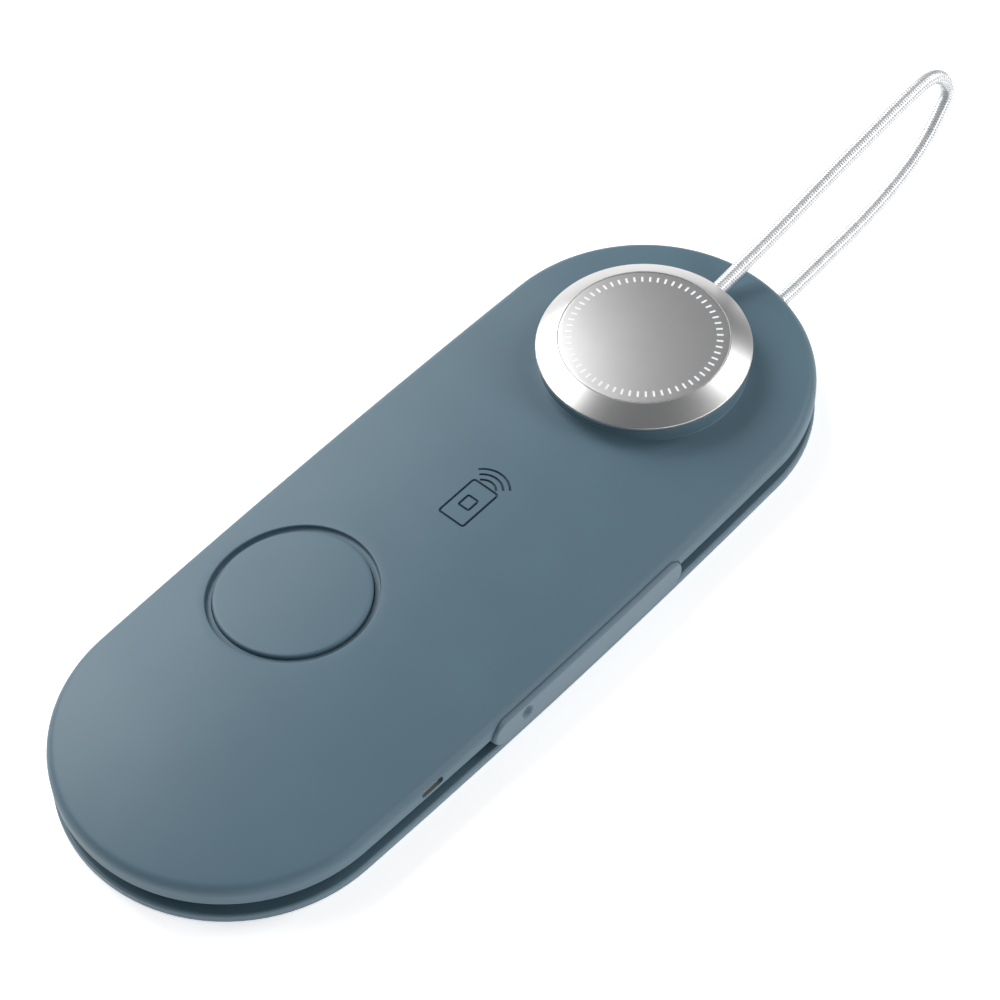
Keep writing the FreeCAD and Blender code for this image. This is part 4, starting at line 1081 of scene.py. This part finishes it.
# Each light's name, place, width, height and power, in metres and watts.
LIGHTS = (
    ("key_light", (0.15, 0.80, 0.62), 0.50, 0.75, 8.6),
    ("fill_light", (0.44, -0.80, 0.40), 0.60, 0.14, 3.0),
    ("side_light", (0.72, -0.36, 0.62), 0.36, 0.50, 2.8),
    ("front_light", (-0.35, -0.90, 0.22), 0.60, 0.20, 1.1),
    ("top_light", (-0.38, 0.64, 0.68), 0.40, 0.40, 2.6),
)


def softbox(name, place_at, width, height, power):
    """A rectangular light that faces the origin."""
    lamp = bpy.data.lights.new(name, "AREA")
    lamp.shape, lamp.size, lamp.size_y = "RECTANGLE", width, height
    lamp.energy = power
    holder = stand(name, lamp)
    holder.location = place_at
    holder.rotation_euler = (-Vector(place_at)).to_track_quat("-Z", "Y").to_euler()


class TAG_OT_stage(bpy.types.Operator):
    """Build the floor, the lights and the camera"""

    bl_idname = "tag.stage"
    bl_label = "Stage"

    def execute(self, context):
        scene = context.scene
        mesh = bpy.data.meshes.new("floor")
        far, below = 3.0, -2e-5
        mesh.from_pydata([(-far, -far, below), (far, -far, below), (far, far, below), (-far, far, below)], [],
                         [(0, 1, 2, 3)])
        floor = stand("floor", mesh)
        tint = tuple(scene.tag_colours.floor)
        finish = Finish("floor", Roughness=0.7)
        finish.set("Base Color", finish.mix(finish.noise(0.2), shade(tint, 0.99), tint))
        finish.set("Emission Color", (1.0, 1.0, 1.0))
        finish.set("Emission Strength", 0.52)
        mesh.materials.append(finish.material)

        world = bpy.data.worlds.new("studio")
        world.use_nodes = True
        backdrop = world.node_tree.nodes["Background"]
        backdrop.inputs["Color"].default_value = (0.93, 0.96, 1.0, 1.0)
        backdrop.inputs["Strength"].default_value = 0.20
        scene.world = world
        for light in LIGHTS:
            softbox(*light)
        scene.view_settings.view_transform = "Standard"

        azimuth, elevation, roll = math.radians(-45.92), math.radians(51.81), math.radians(-2.39)
        back = Vector((math.sin(azimuth) * math.cos(elevation), -math.cos(azimuth) * math.cos(elevation),
                       math.sin(elevation)))
        right = Vector((math.cos(azimuth), math.sin(azimuth), 0.0))
        up = back.cross(right)
        turned_right = right * math.cos(roll) + up * math.sin(roll)
        turned_up = up * math.cos(roll) - right * math.sin(roll)
        lens = bpy.data.cameras.new("camera")
        lens.lens, lens.sensor_width = 120.86, 36.0
        lens.clip_start, lens.clip_end = 0.01, 10.0
        camera = stand("camera", lens)
        pose = Matrix((turned_right, turned_up, back)).transposed().to_4x4()
        pose.translation = (-0.16276, -0.16641, 0.30953)
        camera.matrix_world = pose
        scene.camera = camera
        return {"FINISHED"}


class TAG_PT_panel(bpy.types.Panel):
    """The tag's sizes, colours and building steps"""

    bl_label = "Finder Tag"
    bl_idname = "TAG_PT_panel"
    bl_space_type = "VIEW_3D"
    bl_region_type = "UI"
    bl_category = "Finder Tag"

    def draw(self, context):
        layout = self.layout
        for group in GROUPS:
            box = layout.box()
            settings = getattr(context.scene, group)
            for name in settings.bl_rna.properties.keys():
                if name not in ("rna_type", "name"):
                    box.prop(settings, name)
        for step in STEPS:
            layout.operator(step.bl_idname)


GROUPS = {"tag_shell": TagShellSizes, "tag_trim": TagTrimSizes, "tag_colours": TagColours}
STEPS = (TAG_OT_finishes, TAG_OT_stage, TAG_OT_cable, TAG_OT_shell, TAG_OT_button, TAG_OT_flap, TAG_OT_cap,
         TAG_OT_carried)


def register():
    for name, group in GROUPS.items():
        bpy.utils.register_class(group)
        setattr(bpy.types.Scene, name, PointerProperty(type=group))
    for step in STEPS:
        bpy.utils.register_class(step)
    bpy.utils.register_class(TAG_PT_panel)


def unregister():
    bpy.utils.unregister_class(TAG_PT_panel)
    for step in reversed(STEPS):
        bpy.utils.unregister_class(step)
    for name, group in reversed(list(GROUPS.items())):
        delattr(bpy.types.Scene, name)
        bpy.utils.unregister_class(group)


def main():
    register()
    bpy.ops.tag.finishes()
    bpy.ops.tag.stage()
    bpy.ops.tag.cable()
    bpy.ops.tag.shell()
    bpy.ops.tag.button()
    bpy.ops.tag.flap()
    bpy.ops.tag.cap()
    bpy.ops.tag.carried()


if __name__ == "__main__":
    main()
